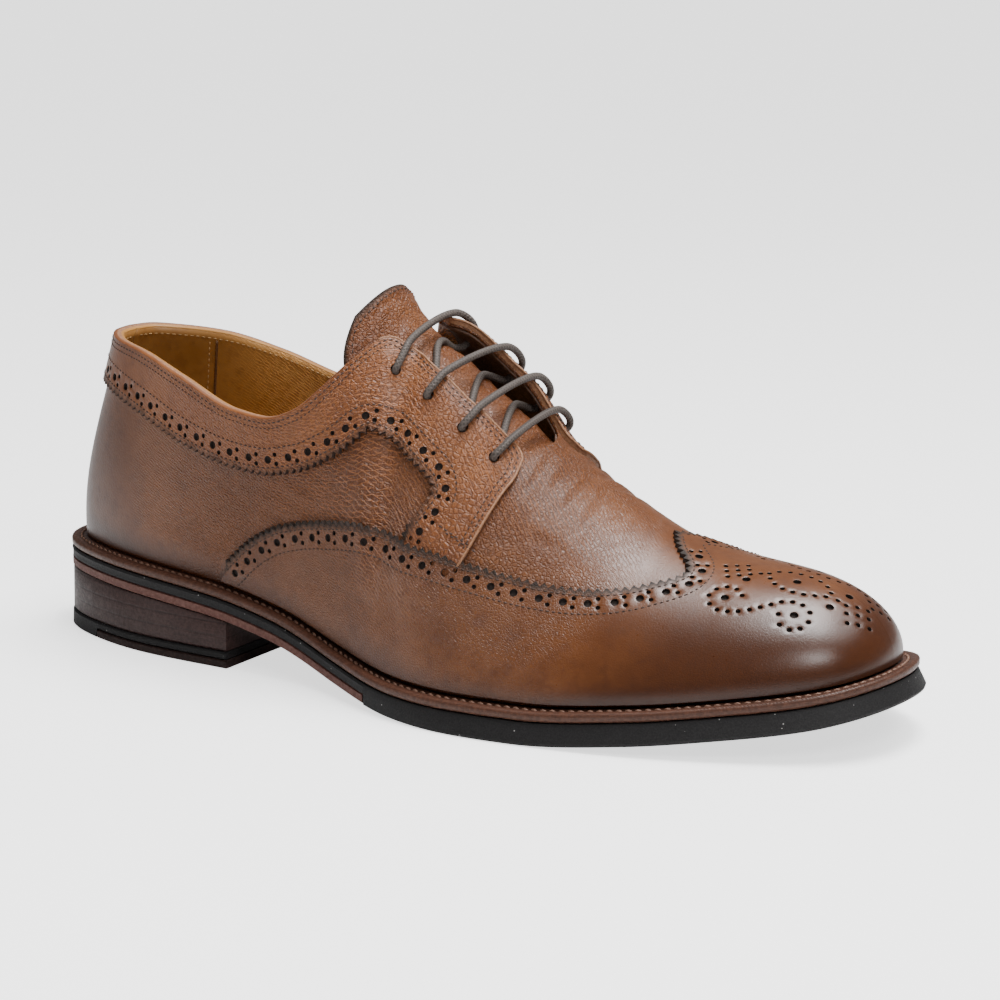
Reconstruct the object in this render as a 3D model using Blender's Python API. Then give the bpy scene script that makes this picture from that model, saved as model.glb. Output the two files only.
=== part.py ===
"""Right brogue derby shoe with wing cap, real eyelets, corded lace and stacked heel."""
# Sizes are in millimetres and leave the script in metres.
# X runs from heel to toe, -Y is the outer side of the foot and Z is up.
import bpy
import bmesh
import math
import numpy as np

# Driving sizes
OUTSOLE_LENGTH = 305.5
BALL_WIDTH = 108.0
HEEL_LIFT = 21.0
TOE_SPRING = 14.8
SOLE_THICK = 6.7
WAIST_LAYER = 3.1
WELT_THICK = 2.9
WELT_WIDTH = 13.0
TOP_PIECE = 5.4
TOP_INSET = 2.8
UPPER_WALL = 1.8
WING_THICK = 1.2
FACING_THICK = 1.5
TONGUE_THICK = 2.0
INSOLE_RISE = 3.0
LACE_RADIUS = 1.15
EYELET_RADIUS = 1.85
LIFT_OUTER = 2.6
LIFT_INNER = 5.6
TOE_FLARE = 2.3
# Gaps between pieces
SKIN_GAP = 0.6
LAYER_GAP = 0.3
TONGUE_GAP = 2.0
# Stations along the shoe
HEEL_BREAST = -67.5
WAIST_END = -4.0
INSET_FRONT = -128.0
THROAT_FRONT = 0.60
MM = 0.001

# Outline of the sole: share of the length, share of the ball width
OUTER_EDGE = [
    (0.000, 0.030), (0.018, -0.105), (0.067, -0.200), (0.155, -0.279), (0.285, -0.307),
    (0.405, -0.362), (0.520, -0.493), (0.640, -0.517), (0.760, -0.463), (0.865, -0.367),
    (0.955, -0.236), (0.990, -0.110), (1.000, 0.048)]
INNER_EDGE = [
    (0.985, 0.200), (0.945, 0.310), (0.855, 0.430), (0.740, 0.487), (0.630, 0.460),
    (0.520, 0.345), (0.395, 0.272), (0.270, 0.285), (0.155, 0.310), (0.060, 0.262),
    (0.015, 0.150)]
# Underside of the sole: x, share of the heel lift
HEEL_SIDE = [(-153, 1.0), (-110, 0.929), (-75, 0.786), (-50, 0.571), (-20, 0.21), (8, 0.038), (30, 0.0)]
# Underside of the sole: x, share of the toe spring
TOE_SIDE = [(52, 0.0), (85, 0.176), (110, 0.399), (135, 0.662), (155, 1.0)]

# Half sections of the last, from the heel back to the toe tip
# share round the sole, x, y outside, y inside, z, low handle, belly, high handle, lean in degrees
SECTIONS = np.array([
    (0.000, -129.3, 2.0, 2.0, 101.5, 24, 1.0, 30, 71),
    (0.035, -128.0, -5.5, 9.5, 101.4, 24, 1.2, 30, 72),
    (0.080, -121.0, -14.5, 17.0, 100.5, 24, 1.5, 29, 75),
    (0.140, -106.5, -21.5, 24.0, 98.6, 23, 2.0, 28, 78),
    (0.210, -86.0, -28.0, 29.5, 93.0, 21, 2.5, 24, 82),
    (0.280, -62.0, -32.5, 33.0, 85.2, 20, 3.0, 20, 85),
    (0.320, -50.0, -33.5, 33.5, 84.0, 20, 3.0, 20, 85),
    (0.360, -39.5, -33.5, 33.0, 87.2, 20, 3.0, 21, 82),
    (0.400, -31.0, -30.5, 30.5, 94.4, 19, 3.0, 23, 72),
    (0.435, -24.0, -22.5, 24.0, 102.6, 18, 3.2, 26, 52),
    (0.465, -17.5, -10.5, 14.0, 107.0, 17, 3.4, 28, 26),
    (0.495, -10.5, 4.0, 4.0, 107.5, 16, 3.5, 29, 4),
    (0.540, 8.0, 4.5, 4.5, 95.0, 16, 3.5, 29, 0),
    (0.600, 32.0, 5.0, 5.0, 78.0, 15, 3.5, 27, 0),
    (0.670, 55.0, 5.0, 5.0, 63.8, 14, 3.5, 25, 0),
    (0.740, 76.0, 5.0, 5.0, 53.0, 13, 3.0, 24, 0),
    (0.820, 95.0, 5.5, 5.5, 47.8, 12, 2.5, 24, 0),
    (0.890, 107.0, 6.0, 6.0, 46.6, 11, 2.3, 23, 1),
    (0.950, 113.0, 6.3, 6.3, 46.2, 10, 2.0, 22, 4),
    (1.000, 116.0, 6.5, 6.5, 46.0, 10, 1.6, 22, 8)])

# Rows of the wing cap: share at the feather edge, share and height share at its upper edge
WING_ROWS = [
    (0.268, 0.272, 0.120), (0.281, 0.284, 0.195), (0.298, 0.300, 0.290), (0.320, 0.320, 0.380),
    (0.340, 0.340, 0.438), (0.354, 0.354, 0.459), (0.378, 0.378, 0.482), (0.401, 0.401, 0.487),
    (0.420, 0.420, 0.480), (0.438, 0.438, 0.470), (0.458, 0.458, 0.450), (0.478, 0.478, 0.427),
    (0.494, 0.494, 0.412), (0.516, 0.516, 0.407),
    (0.541, 0.541, 0.422), (0.567, 0.567, 0.436), (0.596, 0.596, 0.452), (0.618, 0.618, 0.462),
    (0.640, 0.640, 0.474), (0.662, 0.660, 0.488), (0.688, 0.682, 0.508), (0.712, 0.704, 0.540),
    (0.736, 0.726, 0.585), (0.760, 0.748, 0.645), (0.780, 0.765, 0.700), (0.796, 0.773, 0.755),
    (0.810, 0.768, 0.810), (0.824, 0.756, 0.860), (0.838, 0.743, 0.930), (0.850, 0.734, 1.000),
    (0.864, 0.765, 1.000), (0.878, 0.795, 1.000), (0.892, 0.825, 1.000), (0.905, 0.852, 1.000),
    (0.918, 0.880, 1.000), (0.933, 0.905, 1.000), (0.948, 0.928, 1.000), (0.963, 0.950, 1.000),
    (0.978, 0.968, 1.000), (0.990, 0.985, 1.000), (1.000, 1.000, 1.000)]

# Rows of the collar and facing panel: share and height share below, share above, share of the rim
FACING_ROWS = [
    (0.000, 0.812, 0.000, 1.0), (0.015, 0.811, 0.015, 1.0), (0.030, 0.809, 0.030, 1.0),
    (0.046, 0.806, 0.046, 1.0), (0.063, 0.803, 0.063, 1.0), (0.082, 0.797, 0.082, 1.0),
    (0.104, 0.783, 0.104, 1.0), (0.128, 0.766, 0.128, 1.0), (0.154, 0.749, 0.154, 1.0),
    (0.182, 0.726, 0.182, 1.0), (0.211, 0.702, 0.211, 1.0), (0.235, 0.695, 0.238, 1.0),
    (0.258, 0.696, 0.262, 1.0), (0.281, 0.699, 0.285, 1.0), (0.305, 0.706, 0.307, 1.0),
    (0.331, 0.712, 0.330, 1.0), (0.358, 0.714, 0.354, 1.0), (0.385, 0.708, 0.378, 1.0),
    (0.410, 0.704, 0.401, 1.0), (0.430, 0.697, 0.420, 1.0), (0.446, 0.698, 0.438, 1.0),
    (0.458, 0.700, 0.452, 1.0), (0.467, 0.682, 0.464, 1.0), (0.478, 0.648, 0.478, 1.0),
    (0.490, 0.614, 0.494, 1.0), (0.502, 0.592, 0.510, 1.0), (0.514, 0.583, 0.526, 1.0),
    (0.524, 0.579, 0.542, 1.0), (0.531, 0.571, 0.558, 1.0), (0.533, 0.556, 0.573, 1.0),
    (0.532, 0.538, 0.584, 0.985), (0.529, 0.517, 0.591, 0.945), (0.526, 0.496, 0.592, 0.875),
    (0.522, 0.474, 0.588, 0.79), (0.517, 0.450, 0.582, 0.69), (0.513, 0.428, 0.575, 0.58)]
# Throat edge: share round the sole, height share outside, height share inside
THROAT = [
    (0.000, 1.0, 1.0), (0.452, 1.0, 1.0), (0.464, 0.975, 0.99), (0.478, 0.905, 0.955),
    (0.494, 0.845, 0.92), (0.510, 0.825, 0.90), (0.540, 0.820, 0.895), (0.574, 0.820, 0.895),
    (0.585, 0.835, 0.90), (0.593, 0.875, 0.925), (0.600, 1.0, 1.0)]
# Eyelets: share round the sole and height share outside, then the same inside
EYELETS = [(0.474, 0.835, 0.490, 0.855), (0.512, 0.745, 0.528, 0.815),
           (0.543, 0.740, 0.556, 0.812), (0.572, 0.735, 0.582, 0.815)]
# Tongue: share along the instep, half width as a height share
TONGUE_ROWS = [(0.655, 0.10), (0.640, 0.20), (0.620, 0.27), (0.600, 0.30), (0.575, 0.31),
               (0.550, 0.32), (0.525, 0.33), (0.510, 0.34), (0.498, 0.35)]
# Free end of the tongue: top middle, top corner outside and inside, and shares of the rise
TONGUE_TOP = (-24.0, 4.0, 123.5)
TONGUE_CORNER = (-33.0, 24.5, 105.5)
TONGUE_STEPS = (0.25, 0.5, 0.72, 0.88, 1.0)


def smooth_curve(xs, ys, x):
    """Monotone cubic through the table points."""
    xs = np.asarray(xs, float)
    ys = np.asarray(ys, float)
    x = np.clip(np.asarray(x, float), xs[0], xs[-1])
    h = np.diff(xs)
    d = np.diff(ys) / h
    m = np.zeros(len(xs))
    for k in range(1, len(xs) - 1):
        if d[k - 1] * d[k] > 0:
            wa = 2 * h[k] + h[k - 1]
            wb = h[k] + 2 * h[k - 1]
            m[k] = (wa + wb) / (wa / d[k - 1] + wb / d[k])
    m[0] = d[0]
    m[-1] = d[-1]
    i = np.clip(np.searchsorted(xs, x) - 1, 0, len(h) - 1)
    t = (x - xs[i]) / h[i]
    return ((2 * t**3 - 3 * t**2 + 1) * ys[i] + (t**3 - 2 * t**2 + t) * h[i] * m[i]
            + (-2 * t**3 + 3 * t**2) * ys[i + 1] + (t**3 - t**2) * h[i] * m[i + 1])


def closed_spline(points, count):
    """Periodic cubic spline through the points."""
    P = np.asarray(points, float)
    n = len(P)
    loop = np.vstack([P, P[:1]])
    t = np.concatenate([[0], np.cumsum(np.linalg.norm(np.diff(loop, axis=0), axis=1) ** 0.5)])
    h = np.diff(t)
    A = np.zeros((n, n))
    b = np.zeros((n, 2))
    for i in range(n):
        A[i, i - 1] += h[i - 1]
        A[i, i] += 2 * (h[i - 1] + h[i])
        A[i, (i + 1) % n] += h[i]
        b[i] = 6 * ((P[(i + 1) % n] - P[i]) / h[i] - (P[i] - P[i - 1]) / h[i - 1])
    M = np.linalg.solve(A, b)
    s = np.linspace(0, t[-1], count, endpoint=False)
    k = np.clip(np.searchsorted(t, s, side="right") - 1, 0, n - 1)
    nxt = (k + 1) % n
    hk = h[k][:, None]
    u = (t[k + 1] - s)[:, None]
    w = (s - t[k])[:, None]
    return (M[k] * u**3 / (6 * hk) + M[nxt] * w**3 / (6 * hk)
            + (P[k] / hk - M[k] * hk / 6) * u + (P[nxt] / hk - M[nxt] * hk / 6) * w)


SHAPE = np.array(OUTER_EDGE + INNER_EDGE)
OUTLINE = closed_spline(np.c_[(SHAPE[:, 0] - 0.5) * OUTSOLE_LENGTH, SHAPE[:, 1] * BALL_WIDTH], 2400)
OUTLINE = np.roll(OUTLINE, -OUTLINE[:, 0].argmin(), 0)


def sole_bottom(x):
    """Height of the underside of the sole."""
    xs = [p[0] for p in HEEL_SIDE + TOE_SIDE]
    zs = [p[1] * HEEL_LIFT for p in HEEL_SIDE] + [p[1] * TOE_SPRING for p in TOE_SIDE]
    return smooth_curve(xs, zs, x)


def welt_bottom(x):
    return sole_bottom(x) + SOLE_THICK + LAYER_GAP


def welt_top(x):
    return welt_bottom(x) + WELT_THICK


def feather_height(x):
    return welt_top(x) + 1.6 * LAYER_GAP


def moved_in(depth):
    """The sole outline moved inwards by a depth, split into outer and inner side."""
    t = np.roll(OUTLINE, -1, 0) - np.roll(OUTLINE, 1, 0)
    t /= np.linalg.norm(t, axis=1)[:, None]
    n = np.stack([-t[:, 1], t[:, 0]], 1)
    d = depth(OUTLINE[:, 0]) if callable(depth) else np.full(len(OUTLINE), float(depth))
    P = OUTLINE + n * d[:, None]
    P = np.roll(P, -P[:, 0].argmin(), 0)
    tip = P[:, 0].argmax()
    return P[:tip + 1], np.vstack([P[tip:], P[:1]])[::-1]


def feather_depth(x):
    """How far the upper stands in from the edge of the welt."""
    return smooth_curve([-153, -60, 20, 100, 155], [5.2, 4.6, 5.5, 5.5, 6.8], x)


FEATHER = dict(zip((-1, 1), moved_in(feather_depth)))


def along(curve, u):
    s = np.concatenate([[0], np.cumsum(np.linalg.norm(np.diff(curve, axis=0), axis=1))])
    return np.stack([np.interp(u, s / s[-1], curve[:, k]) for k in (0, 1)], -1)


def section_value(column, u):
    return smooth_curve(SECTIONS[:, 0], SECTIONS[:, column], u)


def last_point(side, u, v):
    """Point of the last at share u round the sole and share v up the section."""
    u = np.asarray(u, float)
    v = np.asarray(v, float)[..., None]
    foot = along(FEATHER[side], u)
    F = np.concatenate([foot, feather_height(foot[..., 0])[..., None]], -1)
    y_top = section_value(2 if side < 0 else 3, u)
    T = np.stack([section_value(1, u), y_top, section_value(4, u)], -1)
    step = (along(FEATHER[side], np.clip(u + 1e-3, 0, 1))
            - along(FEATHER[side], np.clip(u - 1e-3, 0, 1)))
    step /= np.linalg.norm(step, axis=-1)[..., None]
    out = np.stack([step[..., 1], -step[..., 0]], -1) * -side
    belly = section_value(6, u)[..., None]
    P1 = F + np.concatenate([out * belly, section_value(5, u)[..., None]], -1)
    away = F - T
    away[..., 2] = 0
    away /= np.linalg.norm(away, axis=-1)[..., None]
    reach = section_value(7, u)
    lean = np.radians(section_value(8, u))
    P2 = T + away * (reach * np.cos(lean))[..., None]
    P2[..., 2] -= reach * np.sin(lean)
    return (1 - v)**3 * F + 3 * (1 - v)**2 * v * P1 + 3 * (1 - v) * v**2 * P2 + v**3 * T


def side_normal(side, u, v):
    e = 2e-3
    du = last_point(side, np.clip(u + e, 0, 1), v) - last_point(side, np.clip(u - e, 0, 1), v)
    dv = last_point(side, u, np.clip(v + e, 0, 1)) - last_point(side, u, np.clip(v - e, 0, 1))
    n = np.cross(du, dv) * -side
    return n / np.linalg.norm(n, axis=-1)[..., None]


def ease(x):
    x = np.clip(x, 0, 1)
    return x * x * (3 - 2 * x)


def last_normal(side, u, v):
    """Outward normal, shared by both sides along the ridge."""
    u = np.asarray(u, float)
    v = np.asarray(v, float)
    top = np.ones_like(v)
    near = np.minimum(u, 0.88)
    ridge = side_normal(-1, near, top) + side_normal(1, near, top)
    ridge /= np.linalg.norm(ridge, axis=-1)[..., None]
    w = (ease((v - 0.85) / 0.15) * np.clip((u - 0.42) / 0.06, 0, 1))[..., None]
    n = side_normal(side, u, v) * (1 - w) + ridge * w
    return n / np.linalg.norm(n, axis=-1)[..., None]


def throat_edge(side, u):
    xs = [r[0] for r in THROAT]
    return smooth_curve(xs, [r[1 if side < 0 else 2] for r in THROAT], u)


def facing_lift(side, u, v):
    """How far the facings stand up from the tongue beside the throat."""
    height = LIFT_OUTER if side < 0 else LIFT_INNER
    edge = throat_edge(side, u)
    fore = 1 - ease((u - 0.545) / (0.052 if side < 0 else 0.06))
    return height * ease((u - 0.41) / 0.06) * fore * ease((v - edge + 0.32) / 0.32)


def skin(side, u, v, off, lifted=True):
    """Point at a height above the last, with the lift of the facings."""
    u = np.asarray(u, float)
    v = np.asarray(v, float)
    h = off + (facing_lift(side, u, v) if lifted else 0.0)
    return last_point(side, u, v) + last_normal(side, u, v) * np.asarray(h)[..., None]


def material(name, color, rough):
    mat = bpy.data.materials.new(name)
    mat.use_nodes = True
    bsdf = mat.node_tree.nodes["Principled BSDF"]
    bsdf.inputs["Base Color"].default_value = (*color, 1.0)
    bsdf.inputs["Roughness"].default_value = rough
    mat.diffuse_color = (*color, 1.0)
    return mat


LEATHER = ((0.24, 0.095, 0.042), 0.42)


def add_node(name, verts, faces, look):
    """Make one named object from points in millimetres."""
    mesh = bpy.data.meshes.new(name)
    mesh.from_pydata([tuple(p) for p in np.asarray(verts) * MM], [], faces)
    bm = bmesh.new()
    bm.from_mesh(mesh)
    bmesh.ops.recalc_face_normals(bm, faces=bm.faces)
    if bm.calc_volume(signed=True) < 0:
        bmesh.ops.reverse_faces(bm, faces=bm.faces)
    bm.to_mesh(mesh)
    bm.free()
    obj = bpy.data.objects.new(name, mesh)
    bpy.context.scene.collection.objects.link(obj)
    mesh.materials.append(material(name + "_material", *look))
    return obj


def shell(name, outer, inner, faces, look):
    """Close two matching skins with walls along their open edges."""
    n = len(outer)
    count = {}
    for f in faces:
        for a, b in zip(f, f[1:] + f[:1]):
            count[(a, b)] = 1
    walls = [(b, a, a + n, b + n) for (a, b) in count if (b, a) not in count]
    back = [tuple(i + n for i in reversed(f)) for f in faces]
    return add_node(name, np.vstack([outer, inner]), list(faces) + walls + back, look)


class Patch:
    """Skin points of both sides, with the ridge, heel and toe lines shared."""

    def __init__(self):
        self.keys = {}
        self.rows = []
        self.faces = []

    def index(self, side, u, v):
        if u <= 0 or u >= 1 or (v >= 1 and u >= THROAT_FRONT):
            side = 0
        key = (side, round(float(u), 6), round(float(v), 6))
        if key not in self.keys:
            self.keys[key] = len(self.rows)
            self.rows.append((side if side else -1, float(u), float(v)))
        return self.keys[key]

    def grid(self, side, table):
        """Add quads for a table of rows, each a list of (u, v)."""
        ids = [[self.index(side, u, v) for u, v in row] for row in table]
        for a, b in zip(ids, ids[1:]):
            for k in range(len(a) - 1):
                f = [a[k], b[k], b[k + 1], a[k + 1]]
                f = [i for j, i in enumerate(f) if i != f[j - 1]]
                if len(f) > 2:
                    self.faces.append(tuple(f if side < 0 else f[::-1]))

    def points(self, off):
        P = np.zeros((len(self.rows), 3))
        for side in (-1, 1):
            pick = [i for i, r in enumerate(self.rows) if r[0] == side]
            if pick:
                u = np.array([self.rows[i][1] for i in pick])
                v = np.array([self.rows[i][2] for i in pick])
                P[pick] = skin(side, u, v, np.full(len(pick), float(off)))
        return P


def ladder(name, levels, look, front=None, count=34, extra=()):
    """Closed body from stacked outlines: levels of (depth, height curve), top first."""
    s = (1 - np.cos(np.pi * np.linspace(0, 1, count))) / 2
    if front is not None:
        s = 1 - np.cos(np.pi / 2 * np.linspace(0, 1, count))
    sides = [moved_in(d) for d, _ in levels]
    start = [o[0, 0] for o, _ in sides]
    stop = [front if front is not None else o[-1, 0] for o, _ in sides]
    marks = [(x - start[0]) / (stop[0] - start[0]) for x in extra]
    keep = [t for t in s[1:-1] if all(abs(t - m) > 0.006 for m in marks)]
    s = np.array([0.0] + sorted(keep + marks) + [1.0])
    verts = []
    ids = []
    for (out, inn), x0, x1, (_, height) in zip(sides, start, stop, levels):
        row = []
        for k, t in enumerate(s):
            x = (start[0] + (stop[0] - start[0]) * t + (x0 - start[0]) * (1 - t)**6
                 + (x1 - stop[0]) * t**6)
            closed = k == 0 or (k == len(s) - 1 and front is None)
            pair = []
            for curve in (out, inn):
                if closed and pair:
                    pair.append(pair[0])
                    continue
                order = np.argsort(curve[:, 0])
                y = np.interp(x, curve[order, 0], curve[order, 1])
                if closed:
                    y = curve[0 if k == 0 else -1, 1]
                pair.append(len(verts))
                verts.append((x, y, float(height(x))))
            row.append(pair)
        ids.append(row)
    faces = []

    def quad(*f):
        f = [i for j, i in enumerate(f) if i != f[j - 1]]
        if len(f) > 2:
            faces.append(tuple(f))

    for a, b in ((ids[0], True), (ids[-1], False)):
        for p, q in zip(a, a[1:]):
            quad(*((p[0], q[0], q[1], p[1]) if b else (p[1], q[1], q[0], p[0])))
    for up, low in zip(ids, ids[1:]):
        for k in range(len(s) - 1):
            quad(up[k][0], low[k][0], low[k + 1][0], up[k + 1][0])
            quad(up[k + 1][1], low[k + 1][1], low[k][1], up[k][1])
        if front is not None:
            quad(up[-1][0], low[-1][0], low[-1][1], up[-1][1])
    return add_node(name, verts, faces, look)


def ring(name, levels, look, count=27):
    """Closed ring round the shoe from a loop of (depth, height curve)."""
    s = (1 - np.cos(np.pi * np.linspace(0, 1, count))) / 2
    verts = []
    for depth, height in levels:
        out, inn = moved_in(depth)
        x = out[0, 0] + (out[-1, 0] - out[0, 0]) * s
        loop = []
        for curve, xs in ((out, x), (inn, x[::-1][1:-1])):
            order = np.argsort(curve[:, 0])
            y = np.interp(xs, curve[order, 0], curve[order, 1])
            if curve is out:
                y[0] = curve[0, 1]
                y[-1] = curve[-1, 1]
            loop += list(zip(xs, y, height(xs)))
        verts.append(loop)
    n = len(verts[0])
    m = len(verts)
    faces = [(i * n + j, i * n + (j + 1) % n, (i + 1) % m * n + (j + 1) % n, (i + 1) % m * n + j)
             for i in range(m) for j in range(n)]
    return add_node(name, np.array(verts).reshape(-1, 3), faces, look)


def tube(name, path, radius, look):
    """Cord along a smooth path."""
    P = np.asarray(path, float)
    curve = bpy.data.curves.new(name, "CURVE")
    curve.dimensions = "3D"
    curve.bevel_depth = radius * MM
    curve.bevel_resolution = 2
    curve.use_fill_caps = True
    spline = curve.splines.new("POLY")
    spline.points.add(len(P) - 1)
    for point, p in zip(spline.points, P * MM):
        point.co = (*p, 1.0)
    curve.materials.append(material(name + "_material", *look))
    obj = bpy.data.objects.new(name, curve)
    bpy.context.scene.collection.objects.link(obj)
    return obj


def rounded_path(points, per):
    """Centripetal curve through the points."""
    P = np.asarray(points, float)
    P = np.vstack([2 * P[0] - P[1], P, 2 * P[-1] - P[-2]])
    out = []
    for i in range(1, len(P) - 2):
        p = P[i - 1:i + 3]
        t = np.concatenate([[0], np.cumsum(np.linalg.norm(np.diff(p, axis=0), axis=1) ** 0.5)])
        for x in np.linspace(t[1], t[2], per, endpoint=False):
            a = [(t[k + 1] - x) / (t[k + 1] - t[k]) * p[k] + (x - t[k]) / (t[k + 1] - t[k]) * p[k + 1]
                 for k in range(3)]
            b = [(t[k + 2] - x) / (t[k + 2] - t[k]) * a[k] + (x - t[k]) / (t[k + 2] - t[k]) * a[k + 1]
                 for k in range(2)]
            out.append((t[2] - x) / (t[2] - t[1]) * b[0] + (x - t[1]) / (t[2] - t[1]) * b[1])
    out.append(P[-2])
    return out


def around(fine, coarse):
    """Shares round the sole, closer together at heel and toe."""
    return np.concatenate([np.arange(0, 0.104, fine), np.arange(0.112, 0.87, coarse),
                           np.arange(0.884, 1.0001, fine)])


WAIST_STATIONS = [0.330, 0.354, 0.378, 0.401, 0.420, 0.438, 0.452, 0.464, 0.478, 0.494, 0.516, 0.541,
                  0.567, 0.585, 0.593, THROAT_FRONT]


def build_upper():
    patch = Patch()
    us = sorted([u for u in np.round(around(0.018, 0.030), 4) if not 0.315 < u < 0.61] + WAIST_STATIONS)
    rise = np.linspace(0, 1, 9)
    for side in (-1, 1):
        rows = [[(u, float(throat_edge(side, u)) * r) for r in rise] for u in us]
        patch.grid(side, rows)
    return shell("upper", patch.points(0.0), patch.points(-UPPER_WALL), patch.faces, LEATHER)


def build_wing():
    patch = Patch()
    cross = np.linspace(0, 1, 6)
    for side in (-1, 1):
        rows = [[(a + (b - a) * t**4, 0.03 + (v - 0.03) * t) for t in cross] for a, b, v in WING_ROWS]
        patch.grid(side, rows)
    return shell("wing_cap", patch.points(SKIN_GAP + WING_THICK), patch.points(SKIN_GAP),
                 patch.faces, LEATHER)


def build_facing(side, name):
    patch = Patch()
    cross = np.linspace(0, 1, 6)
    rows = []
    for a, low, b, share in FACING_ROWS:
        high = float(throat_edge(side, min(b, 0.588))) * share
        if side > 0:
            b += 0.022 * float(ease((b - 0.50) / 0.09))
        rows.append([(max(a, 0.003) + (max(b, 0.003) - max(a, 0.003)) * t, low + (high - low) * t)
                     for t in cross])
    patch.grid(side, rows)
    gap = SKIN_GAP + (0.5 if side > 0 else 0.0)
    return shell(name, patch.points(gap + FACING_THICK), patch.points(gap), patch.faces, LEATHER)


def tongue_drop(t):
    return -TONGUE_GAP - 3.4 * t * t


def build_tongue():
    across = np.linspace(-1, 1, 9)
    layers = []
    for depth in (0.0, TONGUE_THICK):
        rows = []
        for u, half in TONGUE_ROWS:
            row = []
            for t in across:
                side = -1 if t < 0 else 1
                v = 1 - abs(t) * half
                under = -UPPER_WALL - SKIN_GAP - 0.6 if u > THROAT_FRONT - 0.02 else 0.0
                off = min(tongue_drop(abs(t) * half / 0.27), under) - depth
                row.append(skin(side, np.array([u]), np.array([v]), np.array([off]), False)[0])
            rows.append(np.array(row))
        base = rows[-1]
        for step in TONGUE_STEPS:
            bend = np.abs(across)**2.0
            end = np.stack([TONGUE_TOP[0] + (TONGUE_CORNER[0] - TONGUE_TOP[0]) * bend,
                            TONGUE_CORNER[1] * across + TONGUE_TOP[1] * (1 - bend),
                            TONGUE_TOP[2] + (TONGUE_CORNER[2] - TONGUE_TOP[2]) * bend], -1)
            end[:, 0] -= depth * 0.9
            end[:, 2] -= depth * 0.3
            end[:, 1] *= 1 - depth * 0.02
            line = base + (end - base) * step
            line[:, 0] -= 2.2 * math.sin(math.pi * step)
            rows.append(line)
        layers.append(np.array(rows))
    n, m = layers[0].shape[:2]
    faces = [(i * m + j, (i + 1) * m + j, (i + 1) * m + j + 1, i * m + j + 1)
             for i in range(n - 1) for j in range(m - 1)]
    return shell("tongue", layers[0].reshape(-1, 3), layers[1].reshape(-1, 3), faces, LEATHER)


def spot(side, u, v, off):
    return skin(side, np.array([u]), np.array([v]), np.array([off]))[0]


def lace_path():
    """One cord: a bar over each pair of eyelets and a crossing under to the next pair."""
    over = SKIN_GAP + FACING_THICK + LAYER_GAP + LACE_RADIUS
    under = -UPPER_WALL - LAYER_GAP - LACE_RADIUS
    rest = -TONGUE_GAP + LAYER_GAP + LACE_RADIUS + 0.25
    path = []
    for k, (u0, v0, u1, v1) in enumerate(EYELETS):
        e0 = float(throat_edge(-1, u0 + 0.004))
        e1 = float(throat_edge(1, u1))
        path += [spot(-1, u0, v0 + 0.006, under - 0.5), spot(-1, u0, v0, -0.8), spot(-1, u0, v0, over - 0.6)]
        path += [spot(-1, u0 + 0.002, v0 + 0.03, over + 1.3), spot(-1, u0 + 0.005, e0, over + 1.0),
                 spot(1, u1 - 0.003, e1, over + 0.9), spot(1, u1, v1 + 0.03, over + 1.3)]
        path += [spot(1, u1, v1, over - 0.5), spot(1, u1, v1, -0.8), spot(1, u1, v1 + 0.006, under - 0.5)]
        if k + 1 < len(EYELETS):
            n0 = EYELETS[k + 1][0]
            e2 = float(throat_edge(-1, n0))
            path.append(spot(1, u1 + 0.003, e1, under - 1.0))
            for side, v, share in ((1, 1.0, 0.45), (-1, 0.92, 0.72)):
                u = u1 + (n0 - u1) * share
                path.append(skin(side, np.array([u]), np.array([v]), np.array([rest]), False)[0])
            path.append(spot(-1, n0, e2, under - 0.1))
    return path


def thinned(path, degrees):
    """Drop points of a path that hardly change its direction."""
    keep = [path[0]]
    for p, q in zip(path[1:-1], path[2:]):
        a = np.subtract(p, keep[-1])
        b = np.subtract(q, p)
        turn = math.degrees(math.acos(min(1.0, a @ b / (np.linalg.norm(a) * np.linalg.norm(b)))))
        if turn > degrees:
            keep.append(p)
    return keep + [path[-1]]


def eyelet_cutter():
    """Pins that open the eyelets through facing and upper."""
    bm = bmesh.new()
    for u0, v0, u1, v1 in EYELETS:
        for side, u, v in ((-1, u0, v0), (1, u1, v1)):
            a = spot(side, u, v, -4.0)
            b = spot(side, u, v, 4.0)
            n = (b - a) / np.linalg.norm(b - a)
            e = np.cross(n, (1.0, 0.0, 0.0))
            e /= np.linalg.norm(e)
            f = np.cross(n, e)
            turn = [2 * math.pi * k / 10 for k in range(10)]
            loops = [[bm.verts.new((p + EYELET_RADIUS * (math.cos(t) * e + math.sin(t) * f)) * MM)
                      for t in turn] for p in (a, b)]
            for k in range(10):
                j = (k + 1) % 10
                bm.faces.new((loops[0][k], loops[0][j], loops[1][j], loops[1][k]))
            bm.faces.new(loops[0][::-1])
            bm.faces.new(loops[1])
    bmesh.ops.recalc_face_normals(bm, faces=bm.faces)
    mesh = bpy.data.meshes.new("eyelet_pins")
    bm.to_mesh(mesh)
    bm.free()
    obj = bpy.data.objects.new("eyelet_pins", mesh)
    folder = bpy.data.collections.new("cutters")
    bpy.context.scene.collection.children.link(folder)
    folder.objects.link(obj)
    obj.hide_render = True
    obj.display_type = "WIRE"
    return obj


def cut(obj, cutter):
    mod = obj.modifiers.new("eyelets", "BOOLEAN")
    mod.operation = "DIFFERENCE"
    mod.solver = "EXACT"
    mod.object = cutter


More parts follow.
